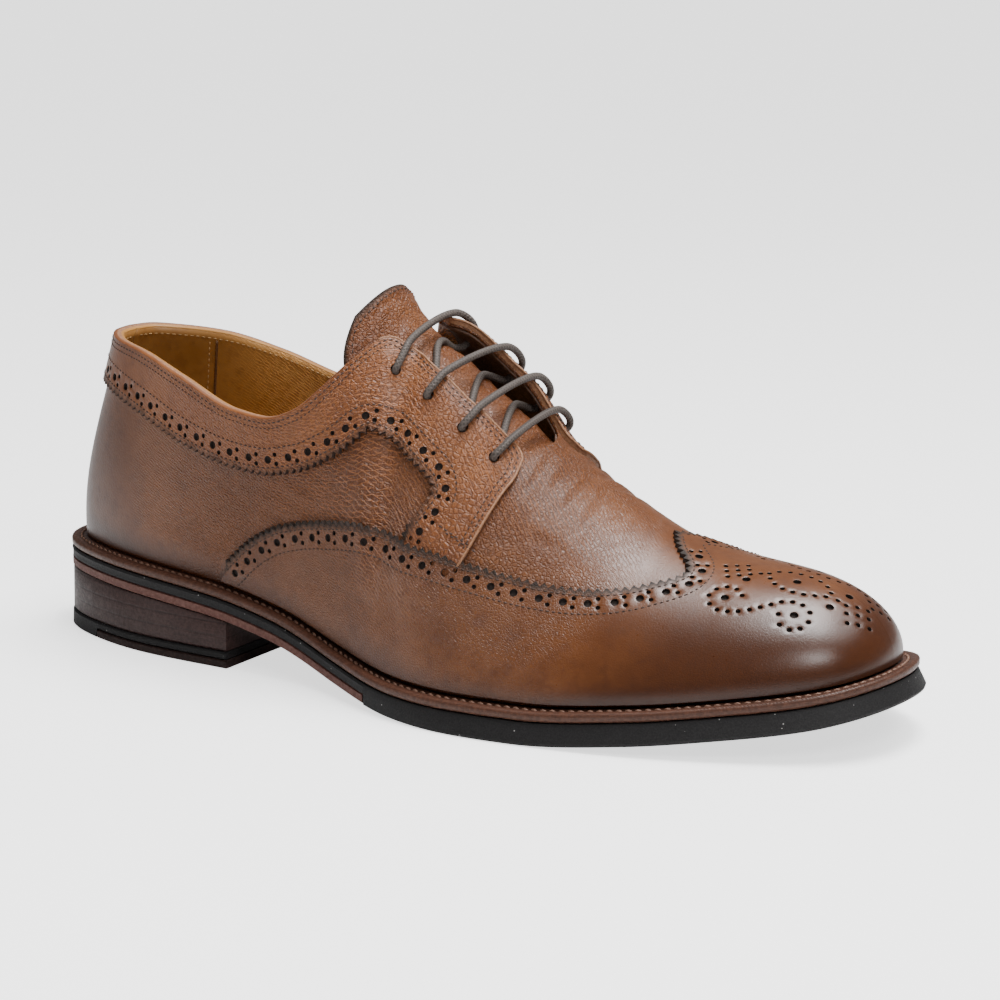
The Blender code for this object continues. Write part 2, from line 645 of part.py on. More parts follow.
def build_sole():
    rubber = ((0.016, 0.014, 0.014), 0.55)
    brown = ((0.13, 0.045, 0.032), 0.5)
    stack = ((0.055, 0.026, 0.024), 0.45)
    top = lambda x: sole_bottom(x) + SOLE_THICK

    def tread(x):
        return sole_bottom(x) + np.where(np.asarray(x) < WAIST_END, WAIST_LAYER + LAYER_GAP, 0.0)

    def flare(share):
        return lambda x: -TOE_FLARE * share * ease((np.asarray(x) - WAIST_END + 10) / 60) + 0.3
    ladder("outsole", [(lambda x: 0.8 + 0 * x, top), (lambda x: 0.1 + 0 * x, lambda x: top(x) - 0.8),
                       (flare(0.55), lambda x: (top(x) + tread(x)) / 2),
                       (flare(1.0), lambda x: tread(x) + 0.9),
                       (flare(0.7), tread)], rubber, count=27,
           extra=(WAIST_END - 0.2, WAIST_END + 0.2, 31.0, 51.0))
    ladder("waist_layer", [(0.5, lambda x: sole_bottom(x) + WAIST_LAYER),
                           (0.1, lambda x: sole_bottom(x) + WAIST_LAYER - 0.6),
                           (0.3, lambda x: sole_bottom(x) + 0.5), (0.8, sole_bottom)],
           brown, front=WAIST_END - 0.6, count=18)
    ladder("heel_stack", [(0.8, lambda x: sole_bottom(x) - LAYER_GAP),
                          (0.4, lambda x: sole_bottom(x) - LAYER_GAP - 0.8),
                          (0.0, lambda x: 0 * x + TOP_PIECE + LAYER_GAP + 0.6),
                          (0.3, lambda x: 0 * x + TOP_PIECE + LAYER_GAP)],
           stack, front=HEEL_BREAST, count=14)

    def notch(x):
        return np.where(np.asarray(x) > INSET_FRONT, TOP_INSET + LAYER_GAP, 0.0)
    ladder("heel_top_piece", [(0.2, lambda x: 0 * x + TOP_PIECE), (-0.2, lambda x: 0 * x + TOP_PIECE - 0.6),
                              (-0.4, lambda x: notch(x) + 0.5), (0.0, notch)],
           rubber, front=HEEL_BREAST, count=14, extra=(INSET_FRONT - 0.15, INSET_FRONT + 0.15))
    return brown


def build_heel_inset(look):
    """Leather front of the heel top piece."""
    out, inn = moved_in(-0.3)
    xs = np.linspace(INSET_FRONT + 0.6, HEEL_BREAST, 9)
    verts = []
    for z in (TOP_INSET, 0.0):
        for curve in (out, inn):
            order = np.argsort(curve[:, 0])
            verts += [(x, np.interp(x, curve[order, 0], curve[order, 1]), z) for x in xs]
    n = len(xs)
    loop = list(range(n)) + list(range(2 * n - 1, n - 1, -1))
    faces = [(i, i + 1, n + i + 1, n + i) for i in range(n - 1)]
    faces += [(2 * n + n + i, 2 * n + n + i + 1, 2 * n + i + 1, 2 * n + i) for i in range(n - 1)]
    faces += [(a, a + 2 * n, b + 2 * n, b) for a, b in zip(loop, loop[1:] + loop[:1])]
    return add_node("heel_inset", verts, faces, look)


for old in list(bpy.data.objects):
    bpy.data.objects.remove(old, do_unlink=True)

heel_brown = build_sole()
build_heel_inset(heel_brown)
ring("welt", [(0.9, welt_top), (0.1, lambda x: welt_top(x) - 0.8), (0.1, lambda x: welt_bottom(x) + 0.7),
              (0.7, welt_bottom), (WELT_WIDTH, welt_bottom), (WELT_WIDTH, welt_top)],
     ((0.17, 0.068, 0.034), 0.5))
ladder("insole", [(lambda x: feather_depth(x) + UPPER_WALL + 1.4, lambda x: feather_height(x) + INSOLE_RISE),
                  (lambda x: feather_depth(x) + UPPER_WALL + 1.0,
                   lambda x: feather_height(x) + INSOLE_RISE - 0.7),
                  (lambda x: feather_depth(x) + UPPER_WALL + 1.0, lambda x: feather_height(x)),
                  (lambda x: WELT_WIDTH + 1.2 + 0 * x, lambda x: feather_height(x)),
                  (lambda x: WELT_WIDTH + 1.2 + 0 * x,
                   lambda x: sole_bottom(x) + SOLE_THICK + LAYER_GAP)],
       ((0.42, 0.24, 0.10), 0.6), count=24)
upper = build_upper()
wing = build_wing()
outer_facing = build_facing(-1, "facing_outer")
inner_facing = build_facing(1, "facing_inner")
build_tongue()
pins = eyelet_cutter()
for piece in (upper, outer_facing, inner_facing):
    cut(piece, pins)
tube("lace", thinned(rounded_path(lace_path(), 3), 13), LACE_RADIUS, ((0.05, 0.036, 0.03), 0.75))

# Put the middle of the whole box on the origin
bpy.context.view_layer.update()
corners = np.array([o.matrix_world @ v.co for o in bpy.context.scene.collection.objects
                    if o.type == "MESH" for v in o.data.vertices])
shift = -(corners.min(0) + corners.max(0)) / 2
for obj in bpy.data.objects:
    obj.location = (shift[0], shift[1], 0.0)
print("shift", shift, "box", corners.max(0) - corners.min(0))
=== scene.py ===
# %% [markdown]
# # A wing cap brogue, from last to lace
# This lesson dresses a right shoe: a tan derby with a punched wing cap, a stacked heel and a thin rubber
# sole. The loaded frame is the plain solid model. Every piece below is laid over it in the same place, so
# nothing has to be fitted by eye. Sizes are in millimetres and turn into metres only when a mesh is made.

# %% Load the frame
import bpy
import bmesh
import math
import numpy as np
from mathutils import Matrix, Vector, kdtree
from mathutils.geometry import delaunay_2d_cdt


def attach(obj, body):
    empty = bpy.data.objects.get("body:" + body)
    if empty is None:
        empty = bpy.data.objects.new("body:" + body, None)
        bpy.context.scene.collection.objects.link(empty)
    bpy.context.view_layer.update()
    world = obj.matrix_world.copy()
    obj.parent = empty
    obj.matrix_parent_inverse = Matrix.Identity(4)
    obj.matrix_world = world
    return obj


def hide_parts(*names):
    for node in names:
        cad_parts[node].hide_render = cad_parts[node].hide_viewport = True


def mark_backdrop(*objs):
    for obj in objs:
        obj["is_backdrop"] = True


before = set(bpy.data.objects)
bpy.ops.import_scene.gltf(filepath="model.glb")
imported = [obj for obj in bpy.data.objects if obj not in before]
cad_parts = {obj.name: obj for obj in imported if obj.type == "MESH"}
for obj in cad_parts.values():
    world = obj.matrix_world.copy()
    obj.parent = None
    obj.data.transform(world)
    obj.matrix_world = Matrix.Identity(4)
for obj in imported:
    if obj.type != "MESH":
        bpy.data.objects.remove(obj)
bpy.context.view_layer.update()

MM = 0.001
SHIFT = np.array([-0.816, 1.675, 0.0])
print("solids in the frame:", len(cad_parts))

# %% Directions and distances along a line
def unit(v):
    """Vectors brought to length one."""
    return v / np.linalg.norm(v, axis=-1)[..., None]


def headings(P):
    """Direction of travel at each point of a line."""
    return unit(np.gradient(P, axis=0))


def run_along(P):
    """Distance from the start of a line to each of its points."""
    return np.concatenate([[0], np.cumsum(np.linalg.norm(np.diff(P, axis=0), axis=1))])


def points_at(t, s, P):
    """Places at the distances t on a line whose points lie at the distances s."""
    return np.stack([np.interp(t, s, P[:, k]) for k in range(P.shape[1])], -1)


print("a 3-4-5 step is", run_along(np.array([(0, 0), (3, 4)]))[-1], "mm long")

# %% [markdown]
# ## The last
# A shoemaker pulls leather over a wooden foot, the last. Here the last is a function: a share round the
# sole and a share up the section give one point on it. It could be a sculpted mesh instead, but a function
# lets each panel be cut to its own pattern and laid on at any height, and all of them fit each other.

# %% Smooth curves for tables of sizes
def smooth_curve(xs, ys, x):
    """Monotone cubic through the table points."""
    xs = np.asarray(xs, float)
    ys = np.asarray(ys, float)
    x = np.clip(np.asarray(x, float), xs[0], xs[-1])
    h = np.diff(xs)
    d = np.diff(ys) / h
    m = np.zeros(len(xs))
    for k in range(1, len(xs) - 1):
        if d[k - 1] * d[k] > 0:
            wa = 2 * h[k] + h[k - 1]
            wb = h[k] + 2 * h[k - 1]
            m[k] = (wa + wb) / (wa / d[k - 1] + wb / d[k])
    m[0] = d[0]
    m[-1] = d[-1]
    i = np.clip(np.searchsorted(xs, x) - 1, 0, len(h) - 1)
    t = (x - xs[i]) / h[i]
    return ((2 * t**3 - 3 * t**2 + 1) * ys[i] + (t**3 - 2 * t**2 + t) * h[i] * m[i]
            + (-2 * t**3 + 3 * t**2) * ys[i + 1] + (t**3 - t**2) * h[i] * m[i + 1])


print("a quarter of the way from 0 to 1:", smooth_curve([0, 1], [0, 1], 0.25))

# %% Smooth closed outline
def closed_spline(points, count):
    """Periodic cubic spline through the points."""
    P = np.asarray(points, float)
    n = len(P)
    loop = np.vstack([P, P[:1]])
    t = np.concatenate([[0], np.cumsum(np.linalg.norm(np.diff(loop, axis=0), axis=1) ** 0.5)])
    h = np.diff(t)
    A = np.zeros((n, n))
    b = np.zeros((n, 2))
    for i in range(n):
        A[i, i - 1] += h[i - 1]
        A[i, i] += 2 * (h[i - 1] + h[i])
        A[i, (i + 1) % n] += h[i]
        b[i] = 6 * ((P[(i + 1) % n] - P[i]) / h[i] - (P[i] - P[i - 1]) / h[i - 1])
    M = np.linalg.solve(A, b)
    s = np.linspace(0, t[-1], count, endpoint=False)
    k = np.clip(np.searchsorted(t, s, side="right") - 1, 0, n - 1)
    nxt = (k + 1) % n
    hk = h[k][:, None]
    u = (t[k + 1] - s)[:, None]
    w = (s - t[k])[:, None]
    return (M[k] * u**3 / (6 * hk) + M[nxt] * w**3 / (6 * hk)
            + (P[k] / hk - M[k] * hk / 6) * u + (P[nxt] / hk - M[nxt] * hk / 6) * w)

# %% Outline of the sole
OUTSOLE_LENGTH = 305.5
BALL_WIDTH = 108.0

OUTER_EDGE = [
    (0.000, 0.030), (0.018, -0.105), (0.067, -0.200), (0.155, -0.279), (0.285, -0.307),
    (0.405, -0.362), (0.520, -0.493), (0.640, -0.517), (0.760, -0.463), (0.865, -0.367),
    (0.955, -0.236), (0.990, -0.110), (1.000, 0.048)]
INNER_EDGE = [
    (0.985, 0.200), (0.945, 0.310), (0.855, 0.430), (0.740, 0.487), (0.630, 0.460),
    (0.520, 0.345), (0.395, 0.272), (0.270, 0.285), (0.155, 0.310), (0.060, 0.262),
    (0.015, 0.150)]
SHAPE = np.array(OUTER_EDGE + INNER_EDGE)
OUTLINE = closed_spline(np.c_[(SHAPE[:, 0] - 0.5) * OUTSOLE_LENGTH, SHAPE[:, 1] * BALL_WIDTH], 2400)
OUTLINE = np.roll(OUTLINE, -OUTLINE[:, 0].argmin(), 0)
print("sole outline points:", len(OUTLINE))

# %% Heights of the sole along the shoe
HEEL_LIFT = 21.0
TOE_SPRING = 14.8
SOLE_THICK = 6.7
WELT_THICK = 2.9
LAYER_GAP = 0.3

HEEL_SIDE = [(-153, 1.0), (-110, 0.929), (-75, 0.786), (-50, 0.571), (-20, 0.21), (8, 0.038), (30, 0.0)]
TOE_SIDE = [(52, 0.0), (85, 0.176), (110, 0.399), (135, 0.662), (155, 1.0)]


def sole_bottom(x):
    """Height of the underside of the sole."""
    xs = [p[0] for p in HEEL_SIDE + TOE_SIDE]
    zs = [p[1] * HEEL_LIFT for p in HEEL_SIDE] + [p[1] * TOE_SPRING for p in TOE_SIDE]
    return smooth_curve(xs, zs, x)


def welt_bottom(x):
    return sole_bottom(x) + SOLE_THICK + LAYER_GAP


def welt_top(x):
    return welt_bottom(x) + WELT_THICK


def feather_height(x):
    """Height of the line where the upper meets the welt."""
    return welt_top(x) + 1.6 * LAYER_GAP


print("sole lifts (mm):", [round(float(sole_bottom(x)), 1) for x in (-150, 40, 150)])

# %% Lines inside the sole's outline
def moved_in(depth):
    """The sole outline moved inwards by a depth, split into outer and inner side."""
    t = unit(np.roll(OUTLINE, -1, 0) - np.roll(OUTLINE, 1, 0))
    n = np.stack([-t[:, 1], t[:, 0]], 1)
    d = depth(OUTLINE[:, 0]) if callable(depth) else np.full(len(OUTLINE), float(depth))
    P = OUTLINE + n * d[:, None]
    P = np.roll(P, -P[:, 0].argmin(), 0)
    tip = P[:, 0].argmax()
    return P[:tip + 1], np.vstack([P[tip:], P[:1]])[::-1]


def feather_depth(x):
    """How far the upper stands in from the edge of the welt."""
    return smooth_curve([-153, -60, 20, 100, 155], [5.2, 4.6, 5.5, 5.5, 6.8], x)


FEATHER = dict(zip((-1, 1), moved_in(feather_depth)))
print("points on the outer and inner feather line:", [len(FEATHER[side]) for side in (-1, 1)])

# %% Sections of the last
# share round the sole, x, y outside, y inside, z, low handle, belly, high handle, lean in degrees
SECTIONS = np.array([
    (0.000, -129.3, 2.0, 2.0, 101.5, 24, 1.0, 30, 71),
    (0.035, -128.0, -5.5, 9.5, 101.4, 24, 1.2, 30, 72),
    (0.080, -121.0, -14.5, 17.0, 100.5, 24, 1.5, 29, 75),
    (0.140, -106.5, -21.5, 24.0, 98.6, 23, 2.0, 28, 78),
    (0.210, -86.0, -28.0, 29.5, 93.0, 21, 2.5, 24, 82),
    (0.280, -62.0, -32.5, 33.0, 85.2, 20, 3.0, 20, 85),
    (0.320, -50.0, -33.5, 33.5, 84.0, 20, 3.0, 20, 85),
    (0.360, -39.5, -33.5, 33.0, 87.2, 20, 3.0, 21, 82),
    (0.400, -31.0, -30.5, 30.5, 94.4, 19, 3.0, 23, 72),
    (0.435, -24.0, -22.5, 24.0, 102.6, 18, 3.2, 26, 52),
    (0.465, -17.5, -10.5, 14.0, 107.0, 17, 3.4, 28, 26),
    (0.495, -10.5, 4.0, 4.0, 107.5, 16, 3.5, 29, 4),
    (0.540, 8.0, 4.5, 4.5, 95.0, 16, 3.5, 29, 0),
    (0.600, 32.0, 5.0, 5.0, 78.0, 15, 3.5, 27, 0),
    (0.670, 55.0, 5.0, 5.0, 63.8, 14, 3.5, 25, 0),
    (0.740, 76.0, 5.0, 5.0, 53.0, 13, 3.0, 24, 0),
    (0.820, 95.0, 5.5, 5.5, 47.8, 12, 2.5, 24, 0),
    (0.890, 107.0, 6.0, 6.0, 46.6, 11, 2.3, 23, 1),
    (0.950, 113.0, 6.3, 6.3, 46.2, 10, 2.0, 22, 4),
    (1.000, 116.0, 6.5, 6.5, 46.0, 10, 1.6, 22, 8)])
print("sections of the last:", len(SECTIONS))

# %% A point of the last
def along(curve, u):
    """Places at shares u of a line's length."""
    s = run_along(curve)
    return points_at(u, s / s[-1], curve)


def section_value(column, u):
    return smooth_curve(SECTIONS[:, 0], SECTIONS[:, column], u)


# millimetres: eases the turn where the sides pass from leaning in to leaning out
TURN_EASE = 8.0


def last_point(side, u, v):
    """Point of the last at share u round the sole and share v up the section."""
    u = np.asarray(u, float)
    v = np.asarray(v, float)[..., None]
    foot = along(FEATHER[side], u)
    F = np.concatenate([foot, feather_height(foot[..., 0])[..., None]], -1)
    y_top = section_value(2 if side < 0 else 3, u)
    T = np.stack([section_value(1, u), y_top, section_value(4, u)], -1)
    step = unit(along(FEATHER[side], np.clip(u + 1e-3, 0, 1))
                - along(FEATHER[side], np.clip(u - 1e-3, 0, 1)))
    out = np.stack([step[..., 1], -step[..., 0]], -1) * -side
    belly = section_value(6, u)[..., None]
    P1 = F + np.concatenate([out * belly, section_value(5, u)[..., None]], -1)
    away = F - T
    away[..., 2] = 0
    away /= np.sqrt((away ** 2).sum(-1) + TURN_EASE ** 2)[..., None]
    reach = section_value(7, u)
    lean = np.radians(section_value(8, u))
    P2 = T + away * (reach * np.cos(lean))[..., None]
    P2[..., 2] -= reach * np.sin(lean)
    return (1 - v)**3 * F + 3 * (1 - v)**2 * v * P1 + 3 * (1 - v) * v**2 * P2 + v**3 * T


print("toe of the last (mm):", np.round(last_point(-1, 1.0, 0.5), 1))

# %% Which way the leather faces
def side_normal(side, u, v):
    e = 2e-3
    du = last_point(side, np.clip(u + e, 0, 1), v) - last_point(side, np.clip(u - e, 0, 1), v)
    dv = last_point(side, u, np.clip(v + e, 0, 1)) - last_point(side, u, np.clip(v - e, 0, 1))
    return unit(np.cross(du, dv) * -side)


def ease(x):
    """A soft ramp from 0 to 1."""
    x = np.clip(x, 0, 1)
    return x * x * (3 - 2 * x)


def last_normal(side, u, v):
    """Outward normal, shared by both sides along the ridge."""
    u = np.asarray(u, float)
    v = np.asarray(v, float)
    top = np.ones_like(v)
    near = np.minimum(u, 0.88)
    ridge = unit(side_normal(-1, near, top) + side_normal(1, near, top))
    w = (ease((v - 0.85) / 0.15) * ease((u - 0.40) / 0.10))[..., None]
    own = side_normal(side, u, v)
    bend = (u > 0.45) & (u < 0.54)
    if bend.any():
        uu, vv = u[bend], v[bend]
        reach = 0.016 * ease((uu - 0.45) / 0.025) * (1 - ease((uu - 0.51) / 0.03))
        own[bend] += sum(side_normal(side, uu + k * reach, vv) for k in (-1, -0.5, 0.5, 1))
        own = unit(own)
    return unit(own * (1 - w) + ridge * w)


print("the ridge faces up by", last_normal(-1, [0.6], [1.0])[0, 2].round(2))

# %% The throat, where the facings stand off the tongue
LIFT_OUTER = 2.6
LIFT_INNER = 5.6
THROAT = [
    (0.000, 1.0, 1.0), (0.452, 1.0, 1.0), (0.464, 0.975, 0.99), (0.478, 0.905, 0.955),
    (0.494, 0.845, 0.92), (0.510, 0.825, 0.90), (0.540, 0.820, 0.895), (0.574, 0.820, 0.895),
    (0.585, 0.835, 0.90), (0.593, 0.875, 0.925), (0.600, 1.0, 1.0)]


def throat_edge(side, u):
    xs = [r[0] for r in THROAT]
    return smooth_curve(xs, [r[1 if side < 0 else 2] for r in THROAT], u)


def facing_lift(side, u, v):
    """How far the facings stand up from the tongue beside the throat."""
    height = LIFT_OUTER if side < 0 else LIFT_INNER
    edge = throat_edge(side, u)
    fore = 1 - ease((u - 0.545) / (0.052 if side < 0 else 0.06))
    return height * ease((u - 0.41) / 0.06) * fore * ease((v - edge + 0.32) / 0.32)


def skin(side, u, v, off, lifted=True):
    """Point at a height above the last, with the lift of the facings."""
    u = np.asarray(u, float)
    v = np.asarray(v, float)
    h = off + (facing_lift(side, u, v) if lifted else 0.0)
    return last_point(side, u, v) + last_normal(side, u, v) * np.asarray(h)[..., None]


print("facings stand off by (mm):", [facing_lift(side, 0.5, 0.85).round(1) for side in (-1, 1)])

# %% [markdown]
# ## From millimetres to a mesh
# Every piece ends as one mesh that carries two extra layers of numbers. `lay` is the place on the hide in
# millimetres, for grain that runs along the shoe. `zone` holds four masks: coarse grain, drawn wrinkles,
# burnish with painted shade, and nearness to a cut edge. They could be painted by hand, but worked out
# from the same shares as the shape they stay sharp at any size.

# %% Making a piece
def make_piece(name, points, faces, looks, lay=None, zone=None, slots=None, weld=True):
    """One object on the body "root" from points in millimetres."""
    mesh = bpy.data.meshes.new(name)
    mesh.from_pydata(((np.asarray(points) + SHIFT) * MM).tolist(), [], faces)
    for look in looks:
        mesh.materials.append(look)
    if slots is not None:
        mesh.polygons.foreach_set("material_index", np.asarray(slots, np.int32))
    lay = points if lay is None else lay
    zone = np.zeros((len(points), 4)) if zone is None else zone
    for label, kind, field, values in (("lay", "FLOAT_VECTOR", "vector", lay),
                                       ("zone", "FLOAT_COLOR", "color", zone)):
        layer = mesh.attributes.new(label, kind, "POINT")
        layer.data.foreach_set(field, np.asarray(values, np.float32).ravel())
    bm = bmesh.new()
    bm.from_mesh(mesh)
    if weld:
        bmesh.ops.remove_doubles(bm, verts=bm.verts, dist=2e-6)
    bmesh.ops.recalc_face_normals(bm, faces=bm.faces)
    if bm.calc_volume(signed=True) < 0:
        bmesh.ops.reverse_faces(bm, faces=bm.faces)
    bm.to_mesh(mesh)
    bm.free()
    mesh.polygons.foreach_set("use_smooth", np.ones(len(mesh.polygons), bool))
    obj = bpy.data.objects.new(name, mesh)
    bpy.context.scene.collection.objects.link(obj)
    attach(obj, "root")
    tris = sum(len(p.vertices) - 2 for p in mesh.polygons)
    print(name, "triangles", tris)
    return obj

# %% Keeping edges crisp
def sharpen(obj, degrees):
    """Keep edges crisp where two faces meet at more than this angle."""
    bm = bmesh.new()
    bm.from_mesh(obj.data)
    for e in bm.edges:
        e.smooth = not (len(e.link_faces) == 2 and e.calc_face_angle() > math.radians(degrees))
    bm.to_mesh(obj.data)
    bm.free()
    return obj


print("every piece rides on the body root")

# %% [markdown]
# ## Camera, floor and light
# The shoe stands on a pale floor and is seen from its outer front, from a little above. A soft box overhead
# gives the sheen on toe and vamp, one in front opens the side, and a low one behind shows the round of the
# heel. A broad, soft ceiling light and a pale world fill the rest.

# %% Camera at the angle of the photograph
AZIMUTH, ELEVATION, DISTANCE = math.radians(30.7), math.radians(12.46), 887.0
AIM = np.array([15.4, 0.0, 58.8]) + SHIFT
back = np.array([math.sin(AZIMUTH) * math.cos(ELEVATION), -math.cos(AZIMUTH) * math.cos(ELEVATION),
                 math.sin(ELEVATION)])
cam_data = bpy.data.cameras.new("camera")
cam_data.sensor_width = 36.0
cam_data.lens = 102.1
cam_data.clip_end = 20.0
camera = bpy.data.objects.new("camera", cam_data)
camera.location = (AIM + back * DISTANCE) * MM
camera.rotation_euler = Vector(-back).to_track_quat("-Z", "Y").to_euler()
bpy.context.scene.collection.objects.link(camera)
bpy.context.scene.camera = camera
print("camera at", [round(v, 3) for v in camera.location])

# %% Floor
def plain_floor():
    mesh = bpy.data.meshes.new("floor")
    n = 24
    ring = [(6 * math.cos(2 * math.pi * k / n), 6 * math.sin(2 * math.pi * k / n), 0.0) for k in range(n)]
    mesh.from_pydata(ring, [], [tuple(range(n))])
    look = bpy.data.materials.new("pale_floor")
    look.use_nodes = True
    bsdf = look.node_tree.nodes["Principled BSDF"]
    bsdf.inputs["Base Color"].default_value = (0.93, 0.93, 0.93, 1)
    bsdf.inputs["Roughness"].default_value = 0.22
    bsdf.inputs["Specular IOR Level"].default_value = 0.35
    path = look.node_tree.nodes.new("ShaderNodeLightPath")
    glow = look.node_tree.nodes.new("ShaderNodeMapRange")  # the floor glows for the camera, not for the shoe
    glow.inputs["To Min"].default_value = 0.04
    glow.inputs["To Max"].default_value = 1.5
    look.node_tree.links.new(path.outputs["Is Camera Ray"], glow.inputs["Value"])
    look.node_tree.links.new(glow.outputs["Result"], bsdf.inputs["Emission Color"])
    bsdf.inputs["Emission Strength"].default_value = 1.0
    mesh.materials.append(look)
    obj = bpy.data.objects.new("floor", mesh)
    bpy.context.scene.collection.objects.link(obj)
    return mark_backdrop(obj)


print("floor:", plain_floor())

# %% Soft boxes
def soft_box(name, place, aim, size, power):
    data = bpy.data.lights.new(name, "AREA")
    data.shape = "RECTANGLE"
    data.size, data.size_y = size
    data.energy = power
    obj = bpy.data.objects.new(name, data)
    obj.location = place
    obj.rotation_euler = (Vector(aim) - Vector(place)).to_track_quat("-Z", "Y").to_euler()
    bpy.context.scene.collection.objects.link(obj)


soft_box("overhead_box", (0.20, 0.10, 1.00), (0.03, 0.0, 0.05), (0.6, 0.35), 14)
soft_box("front_box", (0.80, -0.60, 0.85), (0.08, 0.0, 0.05), (0.35, 0.35), 6)
soft_box("heel_box", (-0.95, -0.85, 0.30), (-0.08, 0.0, 0.05), (0.2, 0.6), 1.2)

# %% Ceiling light and world
sky = bpy.data.lights.new("white_ceiling", "SUN")
sky.energy = 2.8
sky.angle = math.radians(50)
ceiling = bpy.data.objects.new("white_ceiling", sky)
ceiling.rotation_euler = (math.radians(-14), math.radians(10), 0)
bpy.context.scene.collection.objects.link(ceiling)
world = bpy.data.worlds.new("pale_room")
world.use_nodes = True
world.node_tree.nodes["Background"].inputs["Color"].default_value = (1.0, 1.0, 1.0, 1)
world.node_tree.nodes["Background"].inputs["Strength"].default_value = 0.24
bpy.context.scene.world = world

# %% [markdown]
# ## Leather as a finish
# Tumbled calf has a skin of small pebbles with fine valleys between them, and it is drawn into thin
# wrinkles where it was pulled over the last. At heel and toe it is ironed flat and rubbed darker. One node
# group makes the pebbles and a second the drawn wrinkles, and each leather places them with its own sizes.

# %% Helpers for shader nodes
def wire(tree, kind, inputs=None, **settings):
    """Add a node, set its options and link or set its inputs."""
    node = tree.nodes.new(kind)
    for key, value in settings.items():
        setattr(node, key, value)
    for key, value in (inputs or {}).items():
        if isinstance(value, bpy.types.NodeSocket):
            tree.links.new(value, node.inputs[key])
        else:
            node.inputs[key].default_value = value
    return node


def maths(tree, operation, a, b=0.0, clamp=False):
    return wire(tree, "ShaderNodeMath", {0: a, 1: b}, operation=operation, use_clamp=clamp).outputs[0]


def times(tree, a, b, clamp=False):
    return maths(tree, "MULTIPLY", a, b, clamp)


def plus(tree, a, b):
    return maths(tree, "ADD", a, b)


def span(tree, value, low, high, out_low=0.0, out_high=1.0):
    """A soft step that turns low to high into out_low to out_high."""
    return wire(tree, "ShaderNodeMapRange", {0: value, 1: low, 2: high, 3: out_low, 4: out_high},
                interpolation_type="SMOOTHSTEP").outputs[0]


def blend_colors(tree, share, a, b):
    a, b = [(*c, 1.0) if isinstance(c, tuple) else c for c in (a, b)]
    return wire(tree, "ShaderNodeMix", {0: share, 6: a, 7: b}, data_type="RGBA").outputs[2]

# %% Starting a material
def new_look(name):
    """A fresh material, its nodes and its main shader."""
    look = bpy.data.materials.new(name)
    look.use_nodes = True
    return look, look.node_tree, look.node_tree.nodes["Principled BSDF"]


def place_mm(tree):
    """Place on the shoe in millimetres."""
    solid = wire(tree, "ShaderNodeTexCoord")
    return wire(tree, "ShaderNodeVectorMath", {0: solid.outputs["Object"], "Scale": 1000.0},
                operation="SCALE").outputs[0]


print("shader helpers ready; materials so far:", len(bpy.data.materials))

# %% Starting a node group
def new_group(name, sockets_in, sockets_out):
    group = bpy.data.node_groups.new(name, "ShaderNodeTree")
    for label, kind, start in sockets_in:
        socket = group.interface.new_socket(label, in_out="INPUT", socket_type=kind)
        if start is not None:
            socket.default_value = start
    for label, kind in sockets_out:
        group.interface.new_socket(label, in_out="OUTPUT", socket_type=kind)
    return group, group.nodes.new("NodeGroupInput"), group.nodes.new("NodeGroupOutput")


print("a group has named sockets, so each material can set its own values")

# %% Node group for the pebbles of tumbled leather
def pebble_group():
    """Rounded pebbles with thin valleys, one size inside another."""
    g, a, z = new_group("tumbled_grain",
                        [("Place", "NodeSocketVector", None), ("Pebbles per mm", "NodeSocketFloat", 0.8)],
                        [("Height", "NodeSocketFloat"), ("Valley", "NodeSocketFloat")])
    size = a.outputs["Pebbles per mm"]
    wobble = wire(g, "ShaderNodeTexNoise", {"Vector": a.outputs["Place"], "Scale": 0.35, "Detail": 2.0})
    push = wire(g, "ShaderNodeVectorMath", {0: wobble.outputs["Color"], 1: (0.5, 0.5, 0.5)},
                operation="SUBTRACT")
    more = wire(g, "ShaderNodeVectorMath", {0: push.outputs[0], "Scale": 0.9}, operation="SCALE")
    place = wire(g, "ShaderNodeVectorMath", {0: a.outputs["Place"], 1: more.outputs[0]}, operation="ADD")
    cells = wire(g, "ShaderNodeTexVoronoi", {"Vector": place.outputs[0], "Scale": size},
                 feature="DISTANCE_TO_EDGE")
    small = wire(g, "ShaderNodeTexVoronoi", {"Vector": place.outputs[0],
                                             "Scale": times(g, size, 2.3)},
                 feature="DISTANCE_TO_EDGE")
    big = span(g, cells.outputs["Distance"], 0.0, 0.22)
    fine = span(g, small.outputs["Distance"], 0.0, 0.20)
    pores = wire(g, "ShaderNodeTexNoise", {"Vector": a.outputs["Place"], "Scale": 4.0, "Detail": 3.0})
    height = plus(g, times(g, big, 0.72), times(g, fine, 0.14))
    height = plus(g, height, times(g, pores.outputs["Fac"], 0.22))
    g.links.new(height, z.inputs["Height"])
    g.links.new(maths(g, "SUBTRACT", 1.0, big), z.inputs["Valley"])
    return g


TUMBLED_GRAIN = pebble_group()
print("nodes in the pebble group:", len(TUMBLED_GRAIN.nodes))

